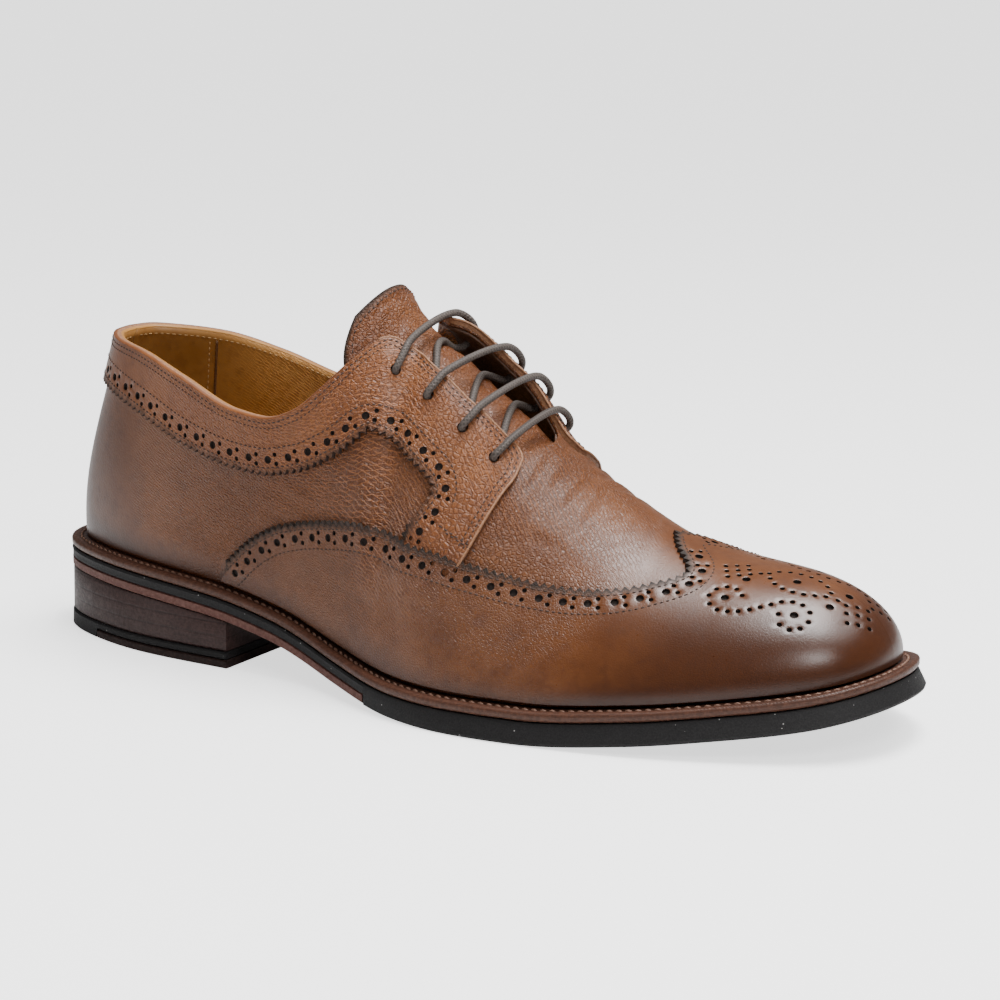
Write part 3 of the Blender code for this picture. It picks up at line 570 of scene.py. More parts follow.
# %% Node group for drawn wrinkles
def wrinkle_group():
    """Thin broken lines in two crossing sets, which part the skin into long narrow cells."""
    g, a, z = new_group("drawn_wrinkles",
                        [("Place", "NodeSocketVector", None), ("Gap mm", "NodeSocketFloat", 1.3)],
                        [("Line", "NodeSocketFloat")])
    split = wire(g, "ShaderNodeSeparateXYZ", {0: a.outputs["Place"]})
    line = 0.0
    for slope, scale, start in ((0.17, 0.21, 0.0), (-0.20, 0.27, 40.0)):
        moved = wire(g, "ShaderNodeVectorMath", {0: a.outputs["Place"], 1: (start, start, 0.0)},
                     operation="ADD")
        drift = wire(g, "ShaderNodeTexNoise", {"Vector": moved.outputs[0], "Scale": scale, "Detail": 2.0})
        over_line = plus(g, times(g, split.outputs[0], slope), split.outputs[1])
        over_line = plus(g, over_line, times(g, drift.outputs["Fac"], 2.0))
        wave = maths(g, "SINE", times(g, maths(g, "DIVIDE", over_line, a.outputs["Gap mm"]), math.pi))
        thin = span(g, maths(g, "ABSOLUTE", wave), 0.08, 0.46, 1.0, 0.0)
        breaks = wire(g, "ShaderNodeTexNoise",
                      {"Vector": moved.outputs[0], "Scale": scale * 1.5, "Detail": 1.0})
        line = maths(g, "MAXIMUM", times(g, thin, span(g, breaks.outputs["Fac"], 0.30, 0.46)), line)
    g.links.new(line, z.inputs["Line"])
    return g


DRAWN_WRINKLES = wrinkle_group()
print("node groups:", [g.name for g in bpy.data.node_groups])

# %% [markdown]
# ## Upper leather
# Colour, gloss and relief all read the same masks. The grain valleys get painted shade, so they are darker
# and duller, the drawn lines get a painted highlight, so they are lighter, and burnish deepens the brown
# towards toe and heel, with painted shade on the lower flanks and low by the welt. The band along the cut
# edges goes near-black, partly edge dye and partly painted shade. A photo of leather could be laid on
# instead, but made from noise the grain has no seams and follows each panel.

# %% Material for the tan upper leather
def tan_leather(name, mid, light, dark, grain=1.0, wrinkles=1.0, pebbles=0.75, rough=0.33, coat=0.12,
                angle=-27.0, gap=1.35):
    look, t, bsdf = new_look(name)
    where = wire(t, "ShaderNodeAttribute", attribute_name="lay")
    masks = wire(t, "ShaderNodeAttribute", attribute_name="zone")
    zone = wire(t, "ShaderNodeSeparateColor", {0: masks.outputs["Color"]})
    coarse, burnish_and_shade = zone.outputs[0], zone.outputs[2]
    edge = masks.outputs["Alpha"]
    body = place_mm(t)
    peb = wire(t, "ShaderNodeGroup", node_tree=TUMBLED_GRAIN)
    t.links.new(body, peb.inputs["Place"])
    peb.inputs["Pebbles per mm"].default_value = pebbles
    lines = 0.0
    for turn, pull, gap in ((-angle, 1.0, gap), (38.0, -1.0, 1.6)):
        here = times(t, zone.outputs[1], pull, clamp=True)
        turned = wire(t, "ShaderNodeMapping", {"Vector": where.outputs["Vector"],
                                               "Rotation": (0, 0, math.radians(turn))})
        wri = wire(t, "ShaderNodeGroup", node_tree=DRAWN_WRINKLES)
        t.links.new(turned.outputs[0], wri.inputs["Place"])
        wri.inputs["Gap mm"].default_value = gap
        lines = plus(t, times(t, wri.outputs["Line"], here), lines)
    cloud = wire(t, "ShaderNodeTexNoise", {"Vector": body, "Scale": 0.045, "Detail": 4.0,
                                           "Roughness": 0.6})
    mottle = wire(t, "ShaderNodeTexNoise", {"Vector": body, "Scale": 0.28, "Detail": 3.0})
    tone = span(t, cloud.outputs["Fac"], 0.32, 0.68)
    color = blend_colors(t, tone, mid, light)
    color = blend_colors(t, times(t, span(t, mottle.outputs["Fac"], 0.45, 0.75), 0.35),
                         color, dark)
    valley = times(t, peb.outputs["Valley"], times(t, coarse, 0.75))
    ridge_highlight = times(t, lines, span(t, mottle.outputs["Fac"], 0.30, 0.60, 0.45, 1.0))
    # painted shade: the grain valleys are darkened and dulled, except along the lighter drawn lines
    valley_shade = times(t, maths(t, "SUBTRACT", valley, ridge_highlight, clamp=True), 0.45)
    color = blend_colors(t, valley_shade, color, tuple(0.50 * c for c in dark))
    # burnish darkens toe and heel; the low band by the welt and the lower flanks are painted shade
    color = blend_colors(t, burnish_and_shade, color, (0.034, 0.0085, 0.0018))
    # painted highlight: the drawn wrinkle lines are lightened well past the light tan
    color = blend_colors(t, times(t, ridge_highlight, 0.66), color, tuple(2.3 * c for c in light))
    # the band along cut edges goes near-black, partly edge dye and partly painted shade
    color = blend_colors(t, times(t, edge, 0.96), color, (0.012, 0.008, 0.005))
    t.links.new(color, bsdf.inputs["Base Color"])
    dull = plus(t, rough, times(t, valley_shade, 0.22))
    dull = plus(t, dull, times(t, maths(t, "SUBTRACT", mottle.outputs["Fac"], 0.5), 0.12))
    dull = plus(t, dull, times(t, edge, 0.35))
    t.links.new(dull, bsdf.inputs["Roughness"])
    shine = times(t, maths(t, "SUBTRACT", 1.0, maths(t, "MAXIMUM", edge, valley_shade)), coat)
    t.links.new(shine, bsdf.inputs["Coat Weight"])
    bsdf.inputs["Coat Roughness"].default_value = 0.25
    bsdf.inputs["Specular IOR Level"].default_value = 0.30
    relief = times(t, peb.outputs["Height"], plus(t, times(t, coarse, 0.9 * grain), 0.06 * grain))
    relief = plus(t, relief, times(t, lines, 0.85 * wrinkles))
    bump = wire(t, "ShaderNodeBump", {"Height": relief, "Strength": 0.85, "Distance": 0.00045})
    t.links.new(bump.outputs[0], bsdf.inputs["Normal"])
    return look

# %% The four tan leathers
TAN_MID, TAN_LIGHT, TAN_DARK = (0.150, 0.047, 0.0135), (0.205, 0.072, 0.023), (0.072, 0.020, 0.006)
DEEP_MID, DEEP_LIGHT, DEEP_DARK = (0.104, 0.033, 0.0095), (0.148, 0.051, 0.0160), (0.050, 0.014, 0.0042)
QUARTER_LEATHER = tan_leather("quarter_leather", DEEP_MID, DEEP_LIGHT, DEEP_DARK)
FACING_LEATHER = tan_leather("facing_leather", TAN_MID, TAN_LIGHT, TAN_DARK, wrinkles=0.7, pebbles=0.60)
WING_LEATHER = tan_leather("wing_leather", DEEP_MID, DEEP_LIGHT, DEEP_DARK, grain=0.7, pebbles=1.1,
                           rough=0.30, coat=0.22, gap=1.0)
TONGUE_LEATHER = tan_leather("tongue_leather", TAN_MID, TAN_LIGHT, TAN_DARK, grain=1.1, coat=0.08)
print("leathers:", [m.name for m in bpy.data.materials if m.name.endswith("leather")])

# %% Material for cut edges, punched holes and thread
def cut_leather(name, color, other, rough=0.75, scale=1.2):
    """A fibrous cut edge or a matt thread, with uneven colour and a fine relief."""
    look, t, bsdf = new_look(name)
    body = place_mm(t)
    fibre = wire(t, "ShaderNodeTexNoise", {"Vector": body, "Scale": scale, "Detail": 4.0,
                                           "Roughness": 0.7})
    mix = span(t, fibre.outputs["Fac"], 0.35, 0.68)
    t.links.new(blend_colors(t, mix, color, other), bsdf.inputs["Base Color"])
    t.links.new(span(t, fibre.outputs["Fac"], 0.3, 0.7, rough + 0.08, rough - 0.1), bsdf.inputs["Roughness"])
    bump = wire(t, "ShaderNodeBump", {"Height": fibre.outputs["Fac"], "Strength": 0.6, "Distance": 0.0003})
    t.links.new(bump.outputs[0], bsdf.inputs["Normal"])
    return look

# %% Edges, hole and threads
DARK_EDGE = cut_leather("dyed_cut_edge", (0.016, 0.008, 0.005), (0.035, 0.016, 0.009))
FACING_BACK = cut_leather("facing_back", (0.050, 0.021, 0.010), (0.095, 0.042, 0.020), rough=0.55)
PALE_EDGE = cut_leather("pale_cut_edge", (0.20, 0.085, 0.036), (0.30, 0.145, 0.070), rough=0.6)
# painted shade: a hole's wall and its bottom, which covers the vamp below, are near-black
HOLE_SHADE = cut_leather("punched_hole_shade", (0.012, 0.007, 0.005), (0.022, 0.012, 0.008), rough=0.85)
BROWN_THREAD = cut_leather("brown_thread", (0.022, 0.011, 0.007), (0.060, 0.028, 0.016), scale=3.0)
GOLD_THREAD = cut_leather("ochre_thread", (0.34, 0.19, 0.070), (0.48, 0.30, 0.13), scale=3.0)
print("materials:", len(bpy.data.materials))

# %% [markdown]
# ## Quarters and vamp
# The vamp and quarters are the base layer, pulled tight over the last. A plain grid in the two shares
# follows them well, so no sculpting is needed. The main creases are pressed in one by one, each a soft
# trough with a low ridge on either side, where the foot bends behind the toe and below the throat.

# %% Masks for the leather
LAY_LONG, LAY_HIGH = 340.0, 95.0


def lay_of(side, u, v):
    """Place on the hide in millimetres, for grain that follows the shoe."""
    return np.stack([np.asarray(u) * LAY_LONG, (np.asarray(v) - 1) * LAY_HIGH, np.zeros(np.shape(u))], -1)


def zones(side, u, v, edge=None):
    """Coarse grain, drawn wrinkles, burnish with painted shade, and cut edge for points of the upper."""
    u, v = np.asarray(u, float), np.asarray(v, float)
    mid = ease((u - 0.16) / 0.14) * (1 - ease((u - 0.60) / 0.13))
    coarse = mid * (0.35 + 0.65 * ease((v - 0.05) / 0.3))
    drawn = ease((u - 0.13) / 0.10) * (1 - ease((u - 0.46) / 0.14)) * ease((v - 0.10) / 0.2)
    bend = ease((u - 0.52) / 0.05) * (1 - ease((u - 0.66) / 0.08)) * ease((v - 0.5) / 0.2)
    # painted shade: the band low on the upper, by the welt, is darkened
    low = 0.70 * (1 - ease(v / 0.17))
    # toe and heel are burnished darker, with painted shade deepening their lower flanks
    toe = 0.88 * ease((u - 0.62) / 0.2) * (1 - 0.8 * ease((v - 0.40) / 0.45))
    heel = 0.60 * (1 - ease((u - 0.02) / 0.17)) * (1 - 0.75 * ease((v - 0.45) / 0.4))
    burnish_and_shade = low + toe + heel + 0.18 * (1 - ease((u - 0.1) / 0.25))
    out = np.zeros((len(u), 4))
    out[:, 0] = coarse
    out[:, 1] = drawn * (1 - bend) - 0.9 * bend
    out[:, 2] = np.clip(burnish_and_shade, 0, 0.9)
    out[:, 3] = 0 if edge is None else edge
    return out


print("burnish at toe, waist and heel:", [zones(-1, [u], [0.3])[0, 2].round(2) for u in (0.95, 0.4, 0.02)])

# %% Creases pressed in one by one
# side, places along the crease as shares, depth and half width in millimetres
CREASES = [
    (0, [(0.622, 0.78), (0.626, 0.90), (0.625, 1.0)], 0.55, 1.6),
    (0, [(0.640, 0.72), (0.645, 0.86), (0.642, 1.0)], 0.45, 1.5),
    (0, [(0.604, 0.70), (0.610, 0.80), (0.608, 0.92)], 0.45, 1.4),
    (0, [(0.660, 0.68), (0.667, 0.82), (0.662, 0.95)], 0.32, 1.8),
    (0, [(0.590, 0.52), (0.622, 0.60), (0.650, 0.62)], 0.30, 2.0),
    (0, [(0.330, 0.62), (0.365, 0.56), (0.405, 0.49)], 0.28, 2.2),
    (0, [(0.300, 0.55), (0.340, 0.48), (0.380, 0.43)], 0.22, 2.2),
    (0, [(0.385, 0.66), (0.420, 0.58), (0.455, 0.50)], 0.28, 2.2),
    (0, [(0.345, 0.68), (0.385, 0.61), (0.430, 0.53)], 0.22, 2.0),
    (-1, [(0.252, 0.60), (0.290, 0.52), (0.325, 0.47)], 0.18, 2.4)]


def crease_height(side, u, v):
    """Millimetres to add along the normal for the creases."""
    q = lay_of(side, u, v)[:, :2]
    total = np.zeros(len(q))
    for which, path, depth, wide in CREASES:
        if which not in (0, side):
            continue
        p = lay_of(side, *np.array(path).T)[:, :2]
        near = np.full(len(q), 1e9)
        share = np.zeros(len(q))
        for k, (a, b) in enumerate(zip(p, p[1:])):
            t = np.clip(((q - a) @ (b - a)) / ((b - a) @ (b - a)), 0, 1)
            d = np.linalg.norm(q - a - t[:, None] * (b - a), axis=1)
            share = np.where(d < near, (k + t) / (len(p) - 1), share)
            near = np.minimum(near, d)
        fade = np.sin(np.pi * np.clip(share, 0.03, 0.97)) ** 0.6
        if path[-1][1] > 0.94:
            fade = np.where(share > 0.5, 1.0, fade)
        r = near / wide
        total += depth * fade * (-np.exp(-r * r) + 0.55 * np.exp(-(r - 1.7) ** 2))
    return total


print("creases:", len(CREASES))

# %% Faces of a grid
def grid_faces(n, m, start=0, flip=False):
    i, j = np.meshgrid(np.arange(n - 1), np.arange(m - 1), indexing="ij")
    a = (i * m + j + start).ravel()
    f = np.stack([a, a + m, a + m + 1, a + 1], -1)
    return (f[:, ::-1] if flip else f).tolist()


def open_edges(faces):
    """Edges that only one face uses."""
    used = {(a, b): True for f in faces for a, b in zip(f, f[1:] + f[:1])}
    return [(a, b) for a, b in used if (b, a) not in used]


print("edges round a grid of 3 by 3 points:", len(open_edges(grid_faces(3, 3))))

# %% Grid pieces that follow the last
def skin_shell(name, us, count, high, off_top, off_low, looks, creased=True, low=0.0, slot_of=None):
    """Two skins over both sides of the shoe, closed along their open edges."""
    tops, backs, lays, masks, faces = [], [], [], [], []
    for k, side in enumerate((-1, 1)):
        v = low + (high(side, us)[:, None] - low) * np.linspace(0, 1, count)[None]
        u = np.repeat(us[:, None], count, 1)
        u, v = u.ravel(), v.ravel()
        add = crease_height(side, u, v) if creased else 0.0
        tops.append(skin(side, u, v, off_top + add + 0 * u))
        backs.append(skin(side, u, v, off_low + add + 0 * u))
        lays.append(lay_of(side, u, v))
        masks.append(zones(side, u, v))
        faces += grid_faces(len(us), count, k * len(us) * count, side > 0)
    n = len(us) * count * 2
    top = np.vstack(tops)
    rim = open_edges(faces)
    centre = {}
    for a, b in rim:
        for i in (a, b):
            centre.setdefault(tuple(np.round(top[i], 3)), set()).add(i)
    shared = {i for s in centre.values() if len(s) > 1 for i in s}
    walls = [(b, a, a + n, b + n) for a, b in rim if not (a in shared and b in shared)]
    allf = faces + [tuple(i + n for i in f[::-1]) for f in faces] + walls
    lay = np.vstack(lays)
    slots = None if slot_of is None else [slot_of(*lay[f[0] % n, :2]) for f in allf]
    return make_piece(name, np.vstack([top] + backs), allf, looks, np.vstack([lay, lay]),
                      np.vstack(masks + masks), slots)

# %% Vamp and quarters
THROAT_FRONT = 0.60
stations = np.unique(np.round(np.concatenate([np.linspace(0, 1, 236), [r[0] for r in THROAT[1:]]]), 5))


def to_throat(side, us):
    return np.where(us >= THROAT_FRONT, 1.0, throat_edge(side, us))


vamp = skin_shell("vamp_and_quarters", stations, 66, to_throat, 0.0, -0.9, [QUARTER_LEATHER])
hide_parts("upper")

# %% [markdown]
# ## Cut panels
# Wing cap and facings are separate hides with pinked, saw-toothed edges and punched holes. A grid can't
# show a crisp round hole, so each panel is drawn flat as a pattern, with its teeth and holes as outlines,
# cut into triangles, and laid over the last. Holes then have real walls and a bottom, both painted
# near-black as shade; the bottom stands over the vamp, which would lie in shade there.

# %% Flat pattern and back
LX, LY = LAY_LONG, 85.0


def to_flat(side, u, v):
    return np.stack([np.asarray(u, float) * LX, np.maximum(1 - np.asarray(v, float), 1e-6) * LY * side], -1)


def from_flat(q):
    side = np.where(q[:, 1] > 0, 1, -1)
    return side, np.clip(q[:, 0] / LX, 0, 1), np.clip(1 - np.abs(q[:, 1]) / LY, 0, 1)


def lay_on(q, off):
    """Points over the last for flat pattern points, each at its own height."""
    side, u, v = from_flat(q)
    off = np.broadcast_to(np.asarray(off, float), (len(q),))
    out = np.zeros((len(q), 3))
    for s in (-1, 1):
        k = side == s
        if k.any():
            out[k] = skin(s, u[k], v[k], off[k] + crease_height(s, u[k], v[k]))
    return out


print("outer side, half way up at the waist (mm):", lay_on(to_flat(-1, [0.4], [0.5]), 0.0).round(1))

# %% Moving over the leather by millimetres
def flat_frame(q, e=0.4):
    """Change of place per flat millimetre, and the normal."""
    lo, hi = np.array([0.01, 0]), np.array([LX - 0.01, 0])
    px = lay_on(np.c_[np.minimum(q[:, 0] + e, hi[0]), q[:, 1]], 1.0)
    mx = lay_on(np.c_[np.maximum(q[:, 0] - e, lo[0]), q[:, 1]], 1.0)
    wide = (np.minimum(q[:, 0] + e, hi[0]) - np.maximum(q[:, 0] - e, lo[0]))[:, None]
    up = np.where(q[:, 1] > 0, np.maximum(q[:, 1] - e, 1e-4), q[:, 1] - e)
    dn = np.where(q[:, 1] > 0, q[:, 1] + e, np.minimum(q[:, 1] + e, -1e-4))
    dx = (px - mx) / wide
    dy = (lay_on(np.c_[q[:, 0], dn], 1.0) - lay_on(np.c_[q[:, 0], up], 1.0)) / (dn - up)[:, None]
    return dx, dy, unit(np.cross(dx, dy))


def faced_out(n, P, centre=(0, 0, 30)):
    """Normals turned so that they point away from the inside of the shoe."""
    return n * np.where((n * (P - np.array(centre))).sum(1) < 0, -1, 1)[:, None]


def slide(q, move):
    """Flat points moved by vectors given in millimetres in space."""
    dx, dy, _ = flat_frame(q)
    a, b, c = (dx * dx).sum(1), (dx * dy).sum(1), (dy * dy).sum(1)
    p, r = (dx * move).sum(1), (dy * move).sum(1)
    det = a * c - b * b
    return q + np.stack([(c * p - b * r) / det, (a * r - b * p) / det], -1)


def evenly(q, gap):
    """A flat line resampled at an even gap measured over the last."""
    s = run_along(lay_on(q, 1.0))
    n = max(int(round(s[-1] / gap)), 2)
    return points_at(np.linspace(0, s[-1], n + 1), s, q)


def inset(q, mm, toward=1):
    """The line moved sideways over the leather, in short steps."""
    steps = max(int(abs(mm) / 1.5), 1)
    for _ in range(steps):
        P = lay_on(q, 1.0)
        n = faced_out(flat_frame(q)[2], P)
        q = slide(q, np.cross(n, headings(P)) * (toward * mm / steps))
        if len(q) > 8:
            k = np.array([0.25, 0.5, 0.25])
            q = np.r_[q[:1], np.stack([np.convolve(q[:, i], k, "valid") for i in (0, 1)], -1), q[-1:]]
    return q


print("line tools: slide, evenly, inset")

# %% Pinking an edge and drawing a soft line
def toothed(q, pitch=2.7, size=0.82):
    """Pink the edge: a saw of small teeth over an even line."""
    q = evenly(q, pitch / 4)
    side = np.cross(flat_frame(q)[2], headings(lay_on(q, 1.0)))
    wave = np.array([0, 1, 0, -1])[np.arange(len(q)) % 4] * size
    return slide(q, side * wave[:, None])


def smooth_line(points, per=14):
    """A soft curve through a few flat points."""
    P = np.asarray(points, float)
    s = run_along(P)
    t = np.linspace(0, s[-1], per * len(P))
    return np.stack([smooth_curve(s, P[:, k], t) for k in (0, 1)], -1)


print("teeth along 100 mm of edge:", int(100 / 2.7))

# %% Points inside an outline, and round holes
def inside(poly, q):
    """Which flat points lie inside a closed outline."""
    order = np.argsort(q[:, 1])
    x, y = q[order, 0], q[order, 1]
    hit = np.zeros(len(q), bool)
    for (x0, y0), (x1, y1) in zip(poly, np.roll(poly, -1, 0)):
        a, b = np.searchsorted(y, sorted((y0, y1)))
        if a < b:
            hit[a:b] ^= x[a:b] < (x1 - x0) * (y[a:b] - y0) / (y1 - y0) + x0
    out = np.zeros(len(q), bool)
    out[order] = hit
    return out


def circles(holes, grow=1.0):
    """Flat outlines of round holes, all worked out together."""
    c = np.array([h[0] for h in holes])
    dx, dy, n = flat_frame(c)
    e = dx / np.linalg.norm(dx, axis=1)[:, None]
    f = np.cross(n, e)
    out = []
    for k, (q, r, _) in enumerate(holes):
        count = 16 if r > 0.9 else 12
        t = 2 * np.pi * np.arange(count) / count
        move = r * grow * (np.cos(t)[:, None] * e[k] + np.sin(t)[:, None] * f[k])
        m = np.stack([dx[k], dy[k]], -1)
        out.append(q + move @ np.linalg.pinv(m).T)
    return out


print("a disc outline has 12 or 16 corners, by its size")

# %% Filling an outline with triangles
def tree_of(points):
    """A search tree that finds the nearest of the points."""
    tree = kdtree.KDTree(len(points))
    for i, p in enumerate(points):
        tree.insert(Vector(p), i)
    tree.balance()
    return tree


def free_points(outline, fixed, gap):
    """An even lattice inside the outline, clear of the fixed points."""
    (x0, y0), (x1, y1) = outline.min(0) + 0.6, outline.max(0)
    X, Y = np.meshgrid(np.arange(x0, x1, gap), np.arange(y0, y1, gap * 0.866), indexing="ij")
    X = X + (np.arange(X.shape[1]) % 2)[None] * gap / 2
    free = np.stack([X.ravel(), Y.ravel()], -1)
    free = free[inside(outline, free)]
    tree = tree_of(np.c_[fixed, np.zeros(len(fixed))])
    return np.array([p for p in free if tree.find((p[0], p[1], 0))[2] > gap * 0.42])


def triangles(loops, gap):
    """Flat points and triangles inside the first loop, and the new number of each loop point."""
    fixed = np.vstack(loops)
    edges, at = [], 0
    for loop in loops:
        edges += [(at + i, at + (i + 1) % len(loop)) for i in range(len(loop))]
        at += len(loop)
    points = np.vstack([fixed, free_points(loops[0], fixed, gap)])
    vs, _, fs, origins, _, _ = delaunay_2d_cdt([Vector(p) for p in points], edges, [], 0, 1e-5)
    new = {i: k for k, source in enumerate(origins) for i in source}
    q, tri = np.array([tuple(v) for v in vs]), np.array(fs)
    return q, tri[inside(loops[0], q[tri].mean(1))], new


square = np.array([(0, 0), (10, 0), (10, 10), (0, 10)], float)
print("triangles in a 10 mm square:", len(triangles([square], 2.0)[1]))

# %% Cutting a panel
LIP_DROP = 0.07


def cut_panel(name, outline, pinked, holes, height, low, looks, gap=2.0):
    """A panel from a flat outline, its pinked part and a list of (flat centre, radius, depth)."""
    loops, marks = [outline], [None]
    for (centre, _, depth), lip, ring in zip(holes, circles(holes, 1.22), circles(holes)):
        loops += [lip, ring]
        marks += [None, (centre, depth)]
    q, tri, new = triangles(loops, gap)
    mid = q[tri].mean(1)
    punched = np.zeros(len(tri), bool)
    off, n, at = height(q), len(q), 0
    cups, cup_q, cup_off = [], [], []
    for loop, mark in zip(loops, marks):
        count = len(loop)
        ids = [new[at + i] for i in range(count)]
        at += count
        if mark is None:
            continue
        near = np.abs(mid - mark[0]).max(1) < 6
        punched[near] |= inside(loop, mid[near])
        off[ids] -= LIP_DROP
        base = 2 * n + len(cup_q)
        cup_q += list(q[ids])
        cup_off += list(off[ids] - mark[1])
        cups += [(ids[i], ids[(i + 1) % count], base + (i + 1) % count, base + i) for i in range(count)]
        cups.append(tuple(base + i for i in range(count)))
    top = [tuple(f) for f in tri[~punched].tolist()]
    back = [tuple(i + n for i in f[::-1]) for f in tri.tolist()]
    seam = q[:, 0] > LX - 1e-3
    walls = [(b, a, a + n, b + n) for a, b in open_edges(tri.tolist()) if not (seam[a] and seam[b])]
    P = [lay_on(q, off), lay_on(q, low(q)), lay_on(np.array(cup_q), np.array(cup_off))]
    tree = tree_of(lay_on(outline[pinked], 1.0))
    far = np.array([tree.find(Vector(p))[2] for p in P[0]])
    # darkening band within 1.45 mm of the pinked edge: partly edge dye, partly painted shade
    edge = np.clip(1.45 - far, 0, 1)
    side, u, v = from_flat(np.vstack([q, q, cup_q]))
    masks = zones(-1, u, v, np.concatenate([edge, edge, np.ones(len(cup_q))]))
    masks[:, 1] *= 0.7
    dark = {new[i] for i in range(len(outline))[pinked]}
    slots = [0] * (len(top) + len(back)) + [1 if w[0] in dark and w[1] in dark else 3 for w in walls]
    # the walls and bottom of each hole are painted near-black as shade
    slots += [2] * len(cups)
    obj = make_piece(name, np.vstack(P), top + back + walls + cups, looks, lay_of(side, u, v), masks, slots)
    return sharpen(obj, 50)


print("material slots of a panel: hide, dark pinked edge, hole, plain edge")

# %% Rows of punched holes
def punched_row(line, pitch=7.7, big=1.26, small=0.74, after=3.0, apart=1.5):
    """Large holes, each followed toward the toe by a pair of small ones, as along every brogued edge."""
    q = evenly(line, 0.5)
    P = lay_on(q, 1.0)
    s, t = run_along(P), headings(P)
    starts = np.arange(2.2, s[-1] - after - 1.5, pitch)
    i, j = np.searchsorted(s, starts), np.searchsorted(s, starts + after)
    across = np.cross(flat_frame(q[j])[2], t[j]) * apart
    holes = [(c, big, 1.0) for c in q[i]]
    for sign in (-1, 1):
        holes += [(c, small, 1.0) for c in slide(q[j], sign * across)]
    return holes


print("each large hole takes 7.7 mm of edge")

# %% Skinning a run of cross sections
def sweep(name, rows, looks, lay=None, closed=False, caps=True, slots=None):
    """Skin a run of equal cross sections given as an array (stations, points, 3)."""
    rows = np.asarray(rows)
    n, m = rows.shape[:2]
    i, j = np.meshgrid(np.arange(n if closed else n - 1), np.arange(m), indexing="ij")
    f = np.stack([i * m + j, (i + 1) % n * m + j, (i + 1) % n * m + (j + 1) % m, i * m + (j + 1) % m], -1)
    faces = f.reshape(-1, 4).tolist()
    marks = None if slots is None else np.tile(slots, n if closed else n - 1).tolist()
    if not closed and caps:
        faces += [list(range(m))[::-1], list(range((n - 1) * m, n * m))]
        marks = None if marks is None else marks + [0, 0]
    return make_piece(name, rows.reshape(-1, 3), faces, looks, lay, None, marks, weld=False)


print("panel tools ready")

# %% [markdown]
# ## Wing cap
# The cap runs back along both sides in wings and forward to a peak on the vamp. Its upper edge is pinked,
# a row of brogueing follows it, and a punched medallion sits on the toe.

# %% Edge of the wing, from its outer tail over the peak to its inner tail
WING_ROWS = [
    (0.268, 0.272, 0.120), (0.281, 0.284, 0.195), (0.298, 0.300, 0.290), (0.320, 0.320, 0.380),
    (0.340, 0.340, 0.438), (0.354, 0.354, 0.459), (0.378, 0.378, 0.482), (0.401, 0.401, 0.487),
    (0.420, 0.420, 0.480), (0.438, 0.438, 0.470), (0.458, 0.458, 0.450), (0.478, 0.478, 0.427),
    (0.494, 0.494, 0.412), (0.516, 0.516, 0.407),
    (0.541, 0.541, 0.422), (0.567, 0.567, 0.436), (0.596, 0.596, 0.452), (0.618, 0.618, 0.462),
    (0.640, 0.640, 0.474), (0.662, 0.660, 0.488), (0.688, 0.682, 0.508), (0.712, 0.704, 0.540),
    (0.736, 0.726, 0.585), (0.760, 0.748, 0.645), (0.780, 0.765, 0.700), (0.796, 0.773, 0.755),
    (0.810, 0.768, 0.810), (0.824, 0.756, 0.860), (0.838, 0.743, 0.930), (0.850, 0.734, 1.000)]
half = smooth_line([to_flat(-1, b, v) for _, b, v in WING_ROWS], 6)
half = np.vstack([half[:-1], to_flat(-1, 0.734, 1.0)[None]])
MIRROR = np.array([1, -1])
WING_EDGE = np.vstack([half, half[::-1][1:] * MIRROR])
print("wing edge points:", len(WING_EDGE))

# %% [markdown]
# ## Medallion
# The toe carries a punched ornament of scrolls, petals and blocks of dots. It is drawn in plan, as seen from
# above, in millimetres along the shoe and off its centre line, and then dropped onto the round toe.

# %% Lines and dots of the medallion
CENTRE_Y = 5.3
SCROLL = [(107.0, -20.4), (103.2, -18.3), (99.2, -20.2), (97.8, -24.0), (100.4, -27.3), (105.0, -27.2),
          (110.0, -25.2), (115.0, -21.4), (119.4, -17.6), (124.0, -16.2), (127.6, -17.6), (128.4, -21.0),
          (125.8, -24.6), (121.6, -25.2), (119.6, -22.4)]
PETAL = [(109.2, -6.6), (111.6, -3.6), (115.6, -1.9), (120.4, -1.6), (124.6, -2.4), (127.9, -4.6),
         (129.6, -7.6), (126.2, -10.4), (121.0, -12.6), (115.4, -12.6), (111.2, -9.9), (109.2, -6.6)]
BIG_DOTS = [(102.6, -23.0), (123.9, -20.7), (131.4, -12.0), (133.4, -2.4), (118.6, -7.2), (104.8, -13.2)]
BLOCKS = [((96.0, -9.0), (2.7, 2.1), (1.6, -2.6)), ((134.6, -7.4), (2.5, 2.5), (1.5, -2.9))]
print("lone large dots:", len(BIG_DOTS))

# %% From the plan to the flat pattern
grid_u, grid_v = np.meshgrid(np.linspace(0.70, 0.999, 300), np.linspace(0.25, 0.999, 240), indexing="ij")
grid_q = to_flat(-1, grid_u.ravel(), grid_v.ravel())
grid_p = lay_on(grid_q, 1.8)


def from_plan(points):
    """Flat pattern points under points given in plan on the outer side."""
    out = []
    for x, y in points:
        d = (grid_p[:, 0] - x) ** 2 + (grid_p[:, 1] - CENTRE_Y - y) ** 2
        k = np.argsort(d)[:4]
        w = 1 / (d[k] + 1e-4)
        out.append((grid_q[k] * w[:, None]).sum(0) / w.sum())
    return np.array(out)


print("flat place under the middle of the toe:", from_plan([(118, -7)]).round(1))

